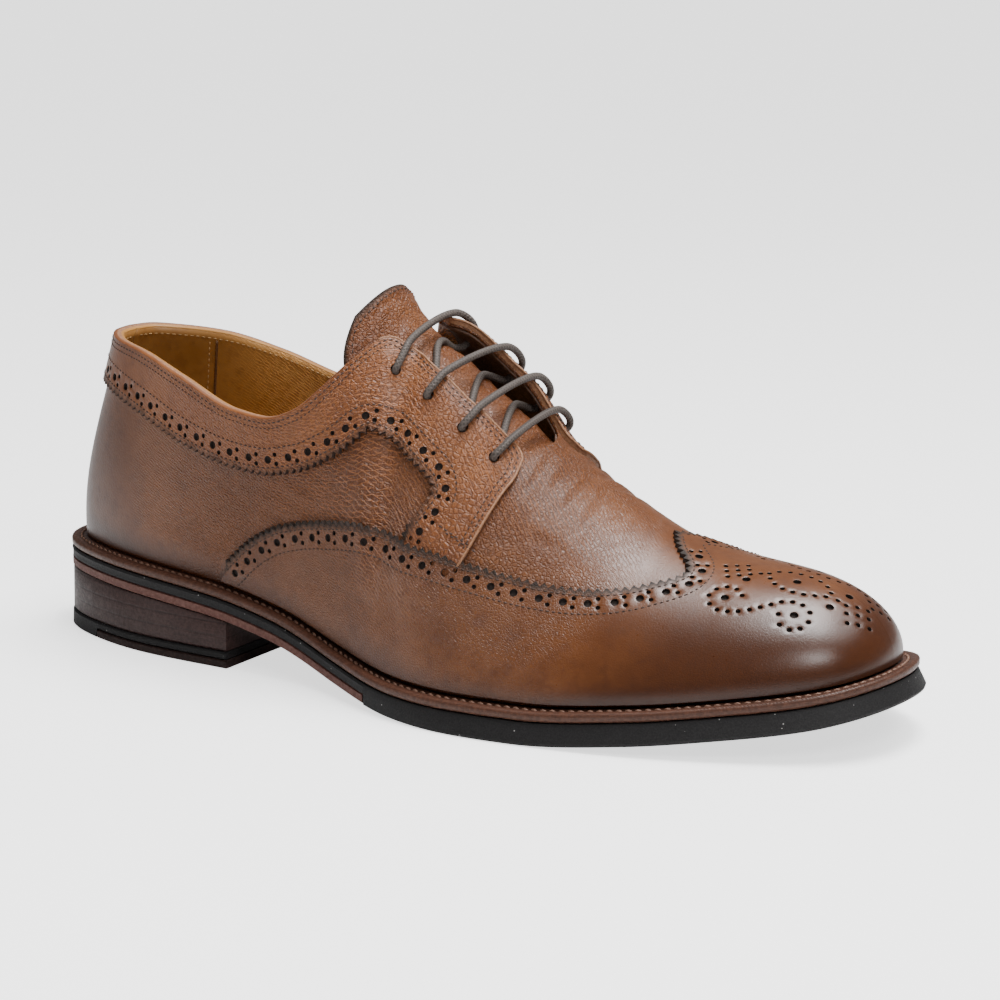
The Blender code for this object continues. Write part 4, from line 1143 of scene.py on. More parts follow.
# %% Dots along rounded paths
def rounded_path(points, per):
    """Centripetal curve through the points."""
    P = np.asarray(points, float)
    P = np.vstack([2 * P[0] - P[1], P, 2 * P[-1] - P[-2]])
    out = []
    for i in range(1, len(P) - 2):
        p = P[i - 1:i + 3]
        t = np.concatenate([[0], np.cumsum(np.linalg.norm(np.diff(p, axis=0), axis=1) ** 0.5)])
        for x in np.linspace(t[1], t[2], per, endpoint=False):
            a = [(t[k + 1] - x) / (t[k + 1] - t[k]) * p[k] + (x - t[k]) / (t[k + 1] - t[k]) * p[k + 1]
                 for k in range(3)]
            b = [(t[k + 2] - x) / (t[k + 2] - t[k]) * a[k] + (x - t[k]) / (t[k + 2] - t[k]) * a[k + 1]
                 for k in range(2)]
            out.append((t[2] - x) / (t[2] - t[1]) * b[0] + (x - t[1]) / (t[2] - t[1]) * b[1])
    out.append(P[-2])
    return out


def dots_along(path, gap, closed=False):
    P = np.array(rounded_path(path, 8))
    s = run_along(P)
    n = int(round(s[-1] / gap))
    return points_at(np.linspace(0, s[-1], n + 1)[:n if closed else n + 1], s, P)


small = [tuple(p) for p in dots_along(SCROLL, 3.15)] + [tuple(p) for p in dots_along(PETAL, 3.25, True)]
small += [(107.0, -8.0), (132.0, -7.6)]
for (x, y), (ax, ay), (bx, by) in BLOCKS:
    small += [(x + ax * i + bx * j, y + ay * i + by * j) for i in range(3) for j in range(3)]
small = [p for k, p in enumerate(small) if all(math.dist(p, o) > 2.0 for o in small[:k] + BIG_DOTS)]
small = [p for p in small if p[1] < -1.3]
medallion = [(q, 0.78, 1.1) for q in from_plan(small)] + [(q, 1.25, 1.1) for q in from_plan(BIG_DOTS)]
medallion += [(q * MIRROR, r, d) for q, r, d in medallion]
print("medallion holes:", len(medallion))

# %% Seams and brogueing beside the wing's edge
# millimetres in from a pinked edge: upper seam, middle of the brogueing, lower seam
EDGE_ROWS = (1.9, 4.5, 8.1)


def own_side(line, sign, margin):
    """The part of a line on its own side of the shoe, short of the sole."""
    keep = (line[:, 1] * sign > margin) & (np.abs(line[:, 1]) < LY * 0.97)
    return line[keep]


UPPER_SEAM, BROGUE_ROW, LOWER_SEAM = [
    [inset(evenly(line, 1.2), depth, toward) for line, toward in ((half, -1), (half * MIRROR, 1))]
    for depth in EDGE_ROWS]
wing_holes = [h for line, side in zip(BROGUE_ROW, (-1, 1)) for h in punched_row(own_side(line, side, 1.6))]
print("holes along the wing:", len(wing_holes))

# %% Outline of the wing
foot = -LY * 0.97
tail = np.stack([np.linspace(WING_ROWS[0][0] * LX, LX, 240), np.full(240, foot)], -1)
toe_line = np.stack([np.full(83, LX), np.linspace(foot, -foot, 83)], -1)
rim = toothed(WING_EDGE[::-1])
outline = np.vstack([tail, toe_line[1:-1], tail[::-1] * MIRROR, rim[2:-2]])
print("outline points:", len(outline))

# %% Cutting the wing
WING_TOP = 1.45


def clear_of(holes, line, gap):
    """Leave out holes that would break through a line."""
    P = lay_on(line, 1.0)
    C = lay_on(np.array([h[0] for h in holes]), 1.0)
    return [h for h, c in zip(holes, C) if np.linalg.norm(P - c, axis=1).min() > h[1] * 1.3 + gap]


def apart(holes):
    """Drop holes that would touch one that is there already."""
    keep, places = [], []
    for h, c in zip(holes, lay_on(np.array([h[0] for h in holes]), 1.0)):
        if all(np.linalg.norm(c - p) > 1.3 * (h[1] + r) + 0.2 for p, r in places):
            keep.append(h)
            places.append((c, h[1]))
    return keep


wing_holes = apart(medallion + wing_holes)
wing_holes = [h for h in clear_of(wing_holes, outline, 0.35) if abs(h[0][1]) > 1.2]
wing = cut_panel("wing_cap_leather", outline, slice(len(outline) - len(rim) + 4, None), wing_holes,
                 lambda q: np.full(len(q), WING_TOP), lambda q: np.full(len(q), 0.02),
                 [WING_LEATHER, DARK_EDGE, HOLE_SHADE, FACING_BACK], gap=2.1)
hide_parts("wing_cap")
print("holes in the wing:", len(wing_holes))

# %% [markdown]
# ## Collar and facings
# On a derby the facings are stitched on top of the vamp, so they can open. Each runs from the back seam
# along the collar and down beside the tongue. The lower edge is pinked and brogued like the wing, and four
# plain eyelets are punched near the front edge.

# %% Pattern of the facings
FACING_ROWS = [
    (0.000, 0.812, 0.000, 1.0), (0.015, 0.811, 0.015, 1.0), (0.030, 0.809, 0.030, 1.0),
    (0.046, 0.806, 0.046, 1.0), (0.063, 0.803, 0.063, 1.0), (0.082, 0.797, 0.082, 1.0),
    (0.104, 0.783, 0.104, 1.0), (0.128, 0.766, 0.128, 1.0), (0.154, 0.749, 0.154, 1.0),
    (0.182, 0.726, 0.182, 1.0), (0.211, 0.702, 0.211, 1.0), (0.235, 0.695, 0.238, 1.0),
    (0.258, 0.696, 0.262, 1.0), (0.281, 0.699, 0.285, 1.0), (0.305, 0.706, 0.307, 1.0),
    (0.331, 0.712, 0.330, 1.0), (0.358, 0.714, 0.354, 1.0), (0.385, 0.708, 0.378, 1.0),
    (0.410, 0.704, 0.401, 1.0), (0.430, 0.697, 0.420, 1.0), (0.446, 0.698, 0.438, 1.0),
    (0.458, 0.700, 0.452, 1.0), (0.467, 0.682, 0.464, 1.0), (0.478, 0.648, 0.478, 1.0),
    (0.490, 0.614, 0.494, 1.0), (0.502, 0.592, 0.510, 1.0), (0.514, 0.583, 0.526, 1.0),
    (0.524, 0.579, 0.542, 1.0), (0.531, 0.571, 0.558, 1.0), (0.533, 0.556, 0.573, 1.0),
    (0.532, 0.538, 0.584, 0.985), (0.529, 0.517, 0.591, 0.945), (0.526, 0.496, 0.592, 0.875),
    (0.522, 0.474, 0.588, 0.79), (0.517, 0.450, 0.582, 0.69), (0.513, 0.428, 0.575, 0.58)]
# share round the sole and height share outside, then the same inside
EYELETS = [(0.474, 0.835, 0.490, 0.855), (0.512, 0.745, 0.528, 0.815),
           (0.543, 0.740, 0.556, 0.812), (0.572, 0.735, 0.582, 0.815)]


def facing_pattern(side):
    """Lower edge and upper edge of one facing, flat, from the back seam forward."""
    low = [to_flat(side, max(a, 0.0006), v) for a, v, _, _ in FACING_ROWS]
    low = smooth_line(low + [to_flat(side, 0.511, 0.405)], 6)
    us = np.linspace(0.0006, 0.5905, 330)
    high = to_flat(side, us, throat_edge(side, us))
    if side > 0:
        high[:, 0] += LX * 0.022 * ease((us - 0.50) / 0.09)
    more = LX * 0.022 if side > 0 else 0.0
    nose = []
    for a, v, b, share in FACING_ROWS[-6:]:
        edge = float(throat_edge(side, min(b, 0.588))) * share
        nose.append(to_flat(side, b, edge) + [more, 0])
    nose.append(to_flat(side, 0.565, 0.385) + [more * 0.8, 0])
    keep = high[:, 0] < nose[0][0] - 2.0
    front = smooth_line([high[keep][-1]] + nose, 6)
    return low, np.vstack([high[keep], front[1:]])


def eyelets_of(side):
    return [to_flat(side, *(e[:2] if side < 0 else e[2:])) for e in EYELETS]


print("length of a facing's lower edge (mm):", [round(run_along(lay_on(facing_pattern(s)[0], 1.0))[-1])
                                                for s in (-1, 1)])

# %% Thickness of a facing and its skived front edge
FACING_TOP = 1.80


def facing_height(a, b):
    """Full height over the leather, thinned down to the line from a to b where it is sewn to the vamp."""
    across = unit(np.array([-(b - a)[1], (b - a)[0]]))
    return lambda q: 0.55 + (FACING_TOP - 0.55) * ease(np.abs((q - a) @ across) / 6.0)


def skived_edge(name, high, height):
    """The pale cut edge beside the lace, as a thin round bead."""
    line = evenly(high[high[:, 0] > 0.452 * LX][:-4], 0.8)
    P = lay_on(line, height(line))
    n = faced_out(flat_frame(line)[2], P)
    b = np.cross(n, headings(P))
    turns = np.linspace(0, 2 * math.pi, 9)[:-1]
    ring = [P + 0.42 * (b * math.cos(a) + n * math.sin(a)) - 0.16 * n for a in turns]
    return sweep(name, np.stack(ring, 1), [PALE_EDGE])


print("a facing is", FACING_TOP, "mm thick")

# %% Cutting both facings
FACING_LINES = {}
for side, name, node in ((-1, "facing_outer_leather", "facing_outer"),
                         (1, "facing_inner_leather", "facing_inner")):
    low, high = facing_pattern(side)
    rows = [inset(evenly(low, 1.2), d, -side) for d in EDGE_ROWS]
    edge_rows = [inset(evenly(high, 1.2), d, side) for d in (1.3, 3.0)]
    FACING_LINES[side] = rows, edge_rows
    bottom = toothed(low)
    nose_end = evenly(np.vstack([low[-1:], high[-1:]]), 1.4)[1:-1]
    seam_end = evenly(np.vstack([high[:1], low[:1]]), 1.4)[1:-1]
    outline = np.vstack([bottom[2:], nose_end, evenly(high, 0.9)[::-1], seam_end])
    height = facing_height(low[-1], high[-1])
    holes = [(q, 1.75, 1.9) for q in eyelets_of(side)] + punched_row(rows[1])
    holes = clear_of(apart(holes), outline, 0.35)
    panel = cut_panel(name, outline, slice(0, len(bottom) - 2), holes, height,
                      lambda q: np.full(len(q), 0.03), [FACING_LEATHER, DARK_EDGE, HOLE_SHADE, PALE_EDGE])
    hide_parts(node)
    print(node, "holes:", len(holes))
    skived = skived_edge(name.replace("leather", "skived_edge"), high, height)

# %% [markdown]
# ## Lining, rim and sock
# The inside is a smooth ochre lining, sewn along the collar and lapped at the side. The collar itself is
# a folded edge: brown outside, with the pale cut of the lining showing on top.

# %% Lining leather
COLLAR_END = 0.462
LINING = tan_leather("ochre_lining", (0.30, 0.130, 0.026), (0.38, 0.180, 0.044), (0.18, 0.068, 0.013),
                     grain=0.5, wrinkles=0.2, pebbles=1.4, rough=0.5, coat=0.08)
lining = skin_shell("ochre_lining", np.unique(np.round(np.linspace(0, 1, 130), 4)), 34,
                    lambda side, us: to_throat(side, us) * 0.998, -1.0, -1.8, [LINING, FACING_BACK],
                    creased=False, low=0.01, slot_of=lambda x, y: int(x > COLLAR_END * LAY_LONG))
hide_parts("upper")

# %% Rim along the collar
def collar_rim(side, name, half_wide=1.78, crown=0.55):
    """A rounded strip over the top of the collar: leather outside, a pale cut, lining inside."""
    u = np.linspace(0.0006, COLLAR_END, 300)
    v = throat_edge(side, u)
    n = last_normal(side, u, np.ones_like(u))
    base = skin(side, u, v, 0 * u)
    up = unit(base - skin(side, u, v - 0.01, 0 * u))
    ring = [base + n * (half_wide * math.cos(t)) + up * (crown * math.sin(t))
            for t in np.linspace(0, math.pi, 9)]
    ring += [base - n * half_wide - up * 1.2, base + n * half_wide - up * 1.2]
    return sweep(name, np.stack(ring, 1), [FACING_LEATHER, PALE_EDGE, LINING],
                 slots=[0, 0, 0, 1, 1, 2, 2, 2, 2, 0, 0])


for side, name in ((-1, "collar_rim_outer"), (1, "collar_rim_inner")):
    rim_piece = collar_rim(side, name)

# %% [markdown]
# ## Tongue
# One thick, soft leaf that rises from under the vamp, bends back at the top and is stitched round its rim.
# Under the facings it follows the last like the other pieces. Above them it stands free, so its last rows
# run to a given top edge, and the whole leaf is smoothed at the end.

# %% Rows across the tongue
UPPER_WALL, SKIN_GAP, TONGUE_GAP, TONGUE_THICK = 1.8, 0.6, 2.0, 2.0
TONGUE_ROWS = [(0.655, 0.10), (0.640, 0.20), (0.620, 0.27), (0.600, 0.30), (0.575, 0.31),
               (0.550, 0.32), (0.525, 0.33), (0.510, 0.34), (0.498, 0.35)]
TONGUE_TOP = (-24.0, 4.0, 123.5)
TONGUE_CORNER = (-33.0, 24.5, 105.5)


def tongue_rows(depth, across):
    rows = []
    us = np.concatenate([np.linspace(0.655, 0.62, 12), np.linspace(0.617, 0.498, 60)])
    half_wides = smooth_curve([r[0] for r in TONGUE_ROWS][::-1], [r[1] for r in TONGUE_ROWS][::-1], us)
    for u, half_wide in zip(us, half_wides):
        under = -3.0 if u > THROAT_FRONT - 0.02 else 0.0
        reach = np.abs(across) * half_wide
        off = np.minimum(-TONGUE_GAP - 3.4 * (reach / 0.27) ** 2, under) - depth
        row = np.zeros((len(across), 3))
        for s in (-1, 1):
            k = (across < 0) if s < 0 else (across >= 0)
            row[k] = skin(s, np.full(k.sum(), u), 1 - reach[k], off[k], False)
        rows.append(row)
    base = rows[-1]
    bend = np.abs(across) ** 2
    end = np.stack([TONGUE_TOP[0] + (TONGUE_CORNER[0] - TONGUE_TOP[0]) * bend - depth * 0.9,
                    (TONGUE_CORNER[1] * across + TONGUE_TOP[1] * (1 - bend)) * (1 - depth * 0.02),
                    TONGUE_TOP[2] + (TONGUE_CORNER[2] - TONGUE_TOP[2]) * bend - depth * 0.3], -1)
    for step in np.linspace(0, 1, 40)[1:]:
        line = base + (end - base) * step
        narrow = 1 - 0.34 * max(0.0, (step - 0.62) / 0.38) ** 2.4
        line = np.stack([np.interp(across * narrow, across, line[:, k]) for k in range(3)], -1)
        line[:, 0] -= 2.2 * math.sin(math.pi * step)
        rows.append(line)
    rows = np.array(rows)
    for _ in range(6):
        rows[1:-1] = 0.25 * rows[:-2] + 0.5 * rows[1:-1] + 0.25 * rows[2:]
    return rows


across = np.linspace(-1, 1, 61)
front, rear = tongue_rows(0.0, across), tongue_rows(TONGUE_THICK, across)
n, m = front.shape[:2]
print("tongue rows and points in a row:", n, m)

# %% Pucker and rolled rim of the tongue
i, j = np.meshgrid(np.arange(n), np.arange(m), indexing="ij")
pucker = 0.28 * np.sin(i * 0.55 + 1.7 * np.sin(j * 0.21)) * np.sin(j * 0.33 + 0.8 * np.sin(i * 0.17))
from_rim = np.minimum(np.minimum(j, m - 1 - j) * 0.8, (n - 1 - i) * 0.45)
front += (front - rear) / TONGUE_THICK * (pucker * np.clip(from_rim / 6, 0, 1)
                                          - 0.75 * np.exp(-(from_rim / 0.9) ** 2)
                                          - 0.35 * np.exp(-((from_rim - 2.6) / 0.7) ** 2))[..., None]
rear -= (rear - front) * (0.28 * np.exp(-(from_rim / 0.9) ** 2))[..., None]
print("deepest pucker (mm):", pucker.min().round(2))

# %% Closing the tongue
faces = grid_faces(n, m) + grid_faces(n, m, n * m, True)
loop = [(i, 0) for i in range(n)] + [(n - 1, j) for j in range(1, m)]
loop += [(i, m - 1) for i in range(n - 2, -1, -1)] + [(0, j) for j in range(m - 2, 0, -1)]
ids = [a * m + b for a, b in loop]
walls = [(b, a, a + n * m, b + n * m) for a, b in zip(ids, ids[1:] + ids[:1])]
mask = np.zeros((2 * n * m, 4))
mask[:, 0] = 0.95
mask[:, 3] = np.tile(np.clip(1 - from_rim.ravel() / 1.6, 0, 1), 2)
tongue = make_piece("tongue_leather", np.vstack([front.reshape(-1, 3), rear.reshape(-1, 3)]), faces + walls,
                    [TONGUE_LEATHER, DARK_EDGE], None, mask,
                    [0] * len(faces) + [1] * len(walls))
sharpen(tongue, 60)
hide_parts("tongue")

# %% [markdown]
# ## Lace
# One round waxed cord: a bar over each pair of eyelets and a crossing beneath to the next pair. It follows
# nearly the route of the solid lace, a little closer to the leather, with a fine braid on its surface. A
# curve with a bevel would do as well, but as a mesh it can carry the braid's own coordinates.

# %% Material for the waxed cord
def cord_look():
    look, t, bsdf = new_look("waxed_cord")
    where = wire(t, "ShaderNodeAttribute", attribute_name="lay")
    split = wire(t, "ShaderNodeSeparateXYZ", {0: where.outputs["Vector"]})
    run, turn = split.outputs[0], split.outputs[1]
    one = maths(t, "SINE", plus(t, times(t, run, 5.2), times(t, turn, 4.0)))
    other = maths(t, "SINE", maths(t, "SUBTRACT", times(t, run, 5.2), times(t, turn, 4.0)))
    braid = span(t, maths(t, "MAXIMUM", one, other), -0.3, 1.0)
    fuzz = wire(t, "ShaderNodeTexNoise", {"Vector": where.outputs["Vector"], "Scale": 1.4, "Detail": 3.0})
    color = blend_colors(t, braid, (0.022, 0.016, 0.013), (0.070, 0.053, 0.044))
    color = blend_colors(t, times(t, fuzz.outputs["Fac"], 0.5), color, (0.11, 0.088, 0.074))
    t.links.new(color, bsdf.inputs["Base Color"])
    t.links.new(span(t, fuzz.outputs["Fac"], 0.3, 0.7, 0.5, 0.72), bsdf.inputs["Roughness"])
    bump = wire(t, "ShaderNodeBump", {"Height": braid, "Strength": 0.7, "Distance": 0.00025})
    t.links.new(bump.outputs[0], bsdf.inputs["Normal"])
    return look

# %% Route of the lace
LACE_RADIUS, FACING_THICK = 1.15, 1.5


def spot(side, u, v, off, lifted=True):
    return skin(side, np.array([u]), np.array([v]), np.array([off]), lifted)[0]


def lace_route():
    over = SKIN_GAP + FACING_THICK + LAYER_GAP + LACE_RADIUS
    under = -UPPER_WALL - LAYER_GAP - LACE_RADIUS
    rest = -TONGUE_GAP + LAYER_GAP + LACE_RADIUS + 0.25
    path = []
    for k, (u0, v0, u1, v1) in enumerate(EYELETS):
        e0 = float(throat_edge(-1, u0 + 0.004))
        e1 = float(throat_edge(1, u1))
        path += [spot(-1, u0, v0 + 0.006, under - 0.5), spot(-1, u0, v0, -0.8), spot(-1, u0, v0, over - 0.9)]
        path += [spot(-1, u0 + 0.003, v0 + 0.03, over + 0.35), spot(-1, u0 + 0.006, e0, over + 0.25),
                 spot(1, u1 - 0.003, e1, over + 0.35), spot(1, u1, v1 + 0.03, over + 0.6)]
        path += [spot(1, u1, v1, over - 0.8), spot(1, u1, v1, -0.8), spot(1, u1, v1 + 0.006, under - 0.5)]
        if k + 1 < len(EYELETS):
            n0 = EYELETS[k + 1][0]
            e2 = float(throat_edge(-1, n0))
            for side, v, share in ((1, 0.90, 0.10), (1, 0.97, 0.30), (-1, 0.96, 0.55), (-1, 0.88, 0.80)):
                low = rest - 0.45 - 3.4 * ((1 - v) / 0.27) ** 2
                path.append(spot(side, u1 + (n0 - u1) * share, v, low, False))
            path.append(spot(-1, n0, e2 - 0.02, under - 0.1))
    return path


print("points on the lace's route:", len(lace_route()))

# %% Laying the cord
def cord(name, path, radius, look, round_=14):
    """A round cord along a smoothed path; its lay holds the distance run and the turn."""
    P = np.array(rounded_path(path, 12))
    for _ in range(3):
        P[1:-1] = 0.25 * P[:-2] + 0.5 * P[1:-1] + 0.25 * P[2:]
    T = headings(P)
    e = np.cross(T[0], (0, 0, 1))
    frames = []
    for t in T:
        e = e - t * (e @ t)
        e /= np.linalg.norm(e)
        frames.append((e, np.cross(t, e)))
    E, F = np.array(frames).transpose(1, 0, 2)
    a = 2 * np.pi * np.arange(round_) / round_
    rows = P[:, None] + radius * (np.cos(a)[None, :, None] * E[:, None]
                                  + np.sin(a)[None, :, None] * F[:, None])
    s = run_along(P)
    print(name, "length (mm):", s[-1].round())
    lay = np.stack([np.repeat(s, round_), np.tile(a, len(s)), 0 * np.repeat(s, round_)], -1)
    return sweep(name, rows, [look], lay)


lace = cord("lace_cord", lace_route(), 1.18, cord_look())
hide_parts("lace")

# %% [markdown]
# ## Sole
# Outsole, waist layer, heel stack and top piece are stacked slabs cut to one outline. Each is drawn again
# here with many more stations and softly broken edges, so the long curves show no facets.

# %% Finishes of the sole
def slab_look(name, color, other, rough, coat=0.0, layers=0.0, specks=0.0, fine=0.9):
    look, t, bsdf = new_look(name)
    body = place_mm(t)
    noise = wire(t, "ShaderNodeTexNoise", {"Vector": body, "Scale": fine, "Detail": 5.0,
                                           "Roughness": 0.65})
    color_out = blend_colors(t, span(t, noise.outputs["Fac"], 0.35, 0.7), color, other)
    height = noise.outputs["Fac"]
    if layers:
        split = wire(t, "ShaderNodeSeparateXYZ", {0: body})
        wave = maths(t, "SINE", times(t, split.outputs[2], 2 * math.pi / layers))
        line = span(t, wave, 0.82, 0.99)
        color_out = blend_colors(t, times(t, line, 0.30), color_out, tuple(0.3 * c for c in color))
        stretch = wire(t, "ShaderNodeMapping", {"Vector": body, "Scale": (0.10, 0.10, 2.2)})
        streak = wire(t, "ShaderNodeTexNoise", {"Vector": stretch.outputs[0], "Scale": 1.0, "Detail": 3.0})
        color_out = blend_colors(t, span(t, streak.outputs["Fac"], 0.5, 0.75, 0.0, 0.5), color_out,
                                 tuple(min(1.35 * c, 1) for c in other))
        height = maths(t, "SUBTRACT", height, times(t, line, 0.5))
    if specks:
        dots = wire(t, "ShaderNodeTexVoronoi", {"Vector": body, "Scale": 0.42})
        pick = span(t, dots.outputs["Distance"], 0.10, 0.06)
        some = wire(t, "ShaderNodeSeparateColor", {0: dots.outputs["Color"]})
        pick = times(t, pick, maths(t, "GREATER_THAN", some.outputs[0], 1 - specks))
        color_out = blend_colors(t, pick, color_out, (0.30, 0.29, 0.28))
    t.links.new(color_out, bsdf.inputs["Base Color"])
    t.links.new(span(t, noise.outputs["Fac"], 0.3, 0.7, rough + 0.06, rough - 0.08), bsdf.inputs["Roughness"])
    bsdf.inputs["Coat Weight"].default_value = coat
    bsdf.inputs["Coat Roughness"].default_value = 0.25
    bsdf.inputs["Specular IOR Level"].default_value = 0.22
    bump = wire(t, "ShaderNodeBump", {"Height": height, "Strength": 0.4, "Distance": 0.00025})
    t.links.new(bump.outputs[0], bsdf.inputs["Normal"])
    return look

# %% Rubber, waist, stack and inset
RUBBER = slab_look("sole_rubber_black", (0.0075, 0.007, 0.0073), (0.014, 0.013, 0.013), 0.62, specks=0.35,
                   fine=2.2)
WAIST = slab_look("waist_red_brown", (0.085, 0.034, 0.026), (0.135, 0.060, 0.047), 0.6)
STACK = slab_look("heel_stack_leather", (0.026, 0.012, 0.0105), (0.044, 0.021, 0.018), 0.5, coat=0.08,
                  layers=4.6)
INSET = slab_look("heel_inset_leather", (0.014, 0.006, 0.005), (0.027, 0.012, 0.009), 0.6)
print("materials:", len(bpy.data.materials))

# %% Slabs cut to the outline
def slab(name, levels, look, front=None, count=150, marks=()):
    """Closed slab from stacked outlines: levels of (depth, height curve), top first."""
    s = (1 - np.cos(np.pi * np.linspace(0, 1, count))) / 2
    if front is not None:
        s = 1 - np.cos(np.pi / 2 * np.linspace(0, 1, count))
    sides = [moved_in(d) for d, _ in levels]
    start = [o[0, 0] for o, _ in sides]
    stop = [front if front is not None else o[-1, 0] for o, _ in sides]
    extra = [(x - start[0]) / (stop[0] - start[0]) for x in marks]
    s = np.array(sorted([t for t in s if all(abs(t - e) > 0.002 for e in extra)] + extra))
    rows = []
    for (out, inn), x0, x1, (_, height) in zip(sides, start, stop, levels):
        x = (start[0] + (stop[0] - start[0]) * s + (x0 - start[0]) * (1 - s)**6 + (x1 - stop[0]) * s**6)
        pair = []
        for curve in (out, inn):
            order = np.argsort(curve[:, 0])
            y = np.interp(x, curve[order, 0], curve[order, 1])
            y[0] = curve[0, 1]
            if front is None:
                y[-1] = curve[-1, 1]
            pair.append(np.stack([x, y, height(x) + 0 * x], -1))
        rows.append(pair)
    middle = np.linspace(0, 1, 14)[1:-1]
    bottom = [rows[-1][0] + (rows[-1][1] - rows[-1][0]) * m for m in middle]
    top = [rows[0][1] + (rows[0][0] - rows[0][1]) * m for m in middle]
    ring = [r[0] for r in rows] + bottom + [r[1] for r in rows[::-1]] + top
    obj = sweep(name, np.stack(ring, 1), [look], caps=front is not None)
    bm = bmesh.new()
    bm.from_mesh(obj.data)
    bmesh.ops.remove_doubles(bm, verts=bm.verts, dist=2e-6)
    bmesh.ops.dissolve_degenerate(bm, edges=bm.edges, dist=1e-7)
    bmesh.ops.recalc_face_normals(bm, faces=bm.faces)
    bm.to_mesh(obj.data)
    bm.free()
    return sharpen(obj, 35)

# %% Levels of the slabs
WAIST_LAYER, TOP_PIECE, TOP_INSET, TOE_FLARE = 3.1, 5.4, 2.8, 2.3
HEEL_BREAST, WAIST_END, INSET_FRONT = -67.5, -4.0, -128.0


def top(x):
    return sole_bottom(x) + SOLE_THICK


def tread(x):
    return sole_bottom(x) + np.where(np.asarray(x) < WAIST_END, WAIST_LAYER + LAYER_GAP, 0.0)


def flare(share):
    return lambda x: -TOE_FLARE * share * ease((np.asarray(x) - WAIST_END + 10) / 60) + 0.3


print("rubber at the ball (mm):", round(float(top(40) - tread(40)), 1))

# %% Outsole and waist layer
outsole = slab("outsole_rubber", [(1.3, top), (0.5, lambda x: top(x) - 0.2), (0.1, lambda x: top(x) - 0.9),
                                  (flare(0.55), lambda x: (top(x) + tread(x)) / 2),
                                  (flare(1.0), lambda x: tread(x) + 1.0),
                                  (flare(0.92), lambda x: tread(x) + 0.3),
                                  (flare(0.6), tread)], RUBBER, marks=(WAIST_END - 0.1, WAIST_END + 0.1))
waist = slab("waist_leather_layer", [(0.8, lambda x: sole_bottom(x) + WAIST_LAYER),
                                     (0.2, lambda x: sole_bottom(x) + WAIST_LAYER - 0.4),
                                     (0.2, lambda x: sole_bottom(x) + 0.5), (0.8, sole_bottom)], WAIST,
             front=WAIST_END - 0.6, count=90)

# %% Heel stack and its top piece
stack = slab("heel_stack_layers", [(0.8, lambda x: sole_bottom(x) - LAYER_GAP),
                                   (0.4, lambda x: sole_bottom(x) - LAYER_GAP - 0.6),
                                   (0.1, lambda x: 0 * x + TOP_PIECE + LAYER_GAP + 0.6),
                                   (0.5, lambda x: 0 * x + TOP_PIECE + LAYER_GAP)], STACK, front=HEEL_BREAST,
             count=70)


def notch(x):
    return np.where(np.asarray(x) > INSET_FRONT, TOP_INSET + LAYER_GAP, 0.0)


lift_piece = slab("heel_top_rubber", [(0.5, lambda x: 0 * x + TOP_PIECE),
                                      (-0.2, lambda x: 0 * x + TOP_PIECE - 0.5),
                                      (-0.4, lambda x: notch(x) + 0.5), (0.1, notch)], RUBBER,
                  front=HEEL_BREAST, count=70, marks=(INSET_FRONT - 0.1, INSET_FRONT + 0.1))

# %% Leather piece in the front of the heel
out, inn = moved_in(-0.3)
xs = np.linspace(INSET_FRONT + 0.6, HEEL_BREAST, 60)
ring = []
for depth, z in ((0.5, TOP_INSET), (0.0, TOP_INSET - 0.4), (0.0, 0.4), (0.5, 0.0)):
    for sign, curve in ((1, out), (-1, inn)):
        order = np.argsort(curve[:, 0])
        y = np.interp(xs, curve[order, 0], curve[order, 1]) + sign * depth
        ring.append(np.stack([xs, y, np.full(60, z)], -1))
heel_front = sweep("heel_inset_leather_piece", np.stack(ring[::2] + ring[::-2], 1), [INSET])
sharpen(heel_front, 35)
for piece, node, slot in ((outsole, "outsole", "sole_rubber"), (waist, "waist_layer", "waist_leather"),
                          (stack, "heel_stack", "heel_leather"),
                          (lift_piece, "heel_top_piece", "sole_rubber"),
                          (heel_front, "heel_inset", "waist_leather")):
    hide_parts(node)

# %% [markdown]
# ## Welt
# The welt is the leather strip that joins upper and sole. It is sewn in a shallow channel, and its outer
# edge is pressed with a fine wheel, the fudging, that shows as ticks at the toe.

# %% Finish of the welt
def welt_look():
    """Waxed edge leather; lay holds the run along the edge, the ticks and painted shade in the channel and by
    the upper.
    """
    look = slab_look("welt_brown", (0.048, 0.018, 0.010), (0.082, 0.033, 0.019), 0.48, coat=0.10)
    t = look.node_tree
    bsdf = t.nodes["Principled BSDF"]
    where = wire(t, "ShaderNodeAttribute", attribute_name="lay")
    split = wire(t, "ShaderNodeSeparateXYZ", {0: where.outputs["Vector"]})
    ticks = span(t, maths(t, "SINE", times(t, split.outputs[0], 2 * math.pi / 1.25)), -0.2, 0.8)
    amount = times(t, ticks, split.outputs[1])
    bump = wire(t, "ShaderNodeBump", {"Height": amount, "Strength": 0.9, "Distance": 0.0004})
    old = bsdf.inputs["Normal"].links[0].from_socket
    t.links.new(old, bump.inputs["Normal"])
    t.links.new(bump.outputs[0], bsdf.inputs["Normal"])
    shade = bsdf.inputs["Base Color"].links[0].from_socket
    # painted shade: the channel and the strip by the upper darken towards near-black
    t.links.new(blend_colors(t, times(t, split.outputs[2], 0.85), shade, (0.028, 0.012, 0.008)),
                bsdf.inputs["Base Color"])
    return look

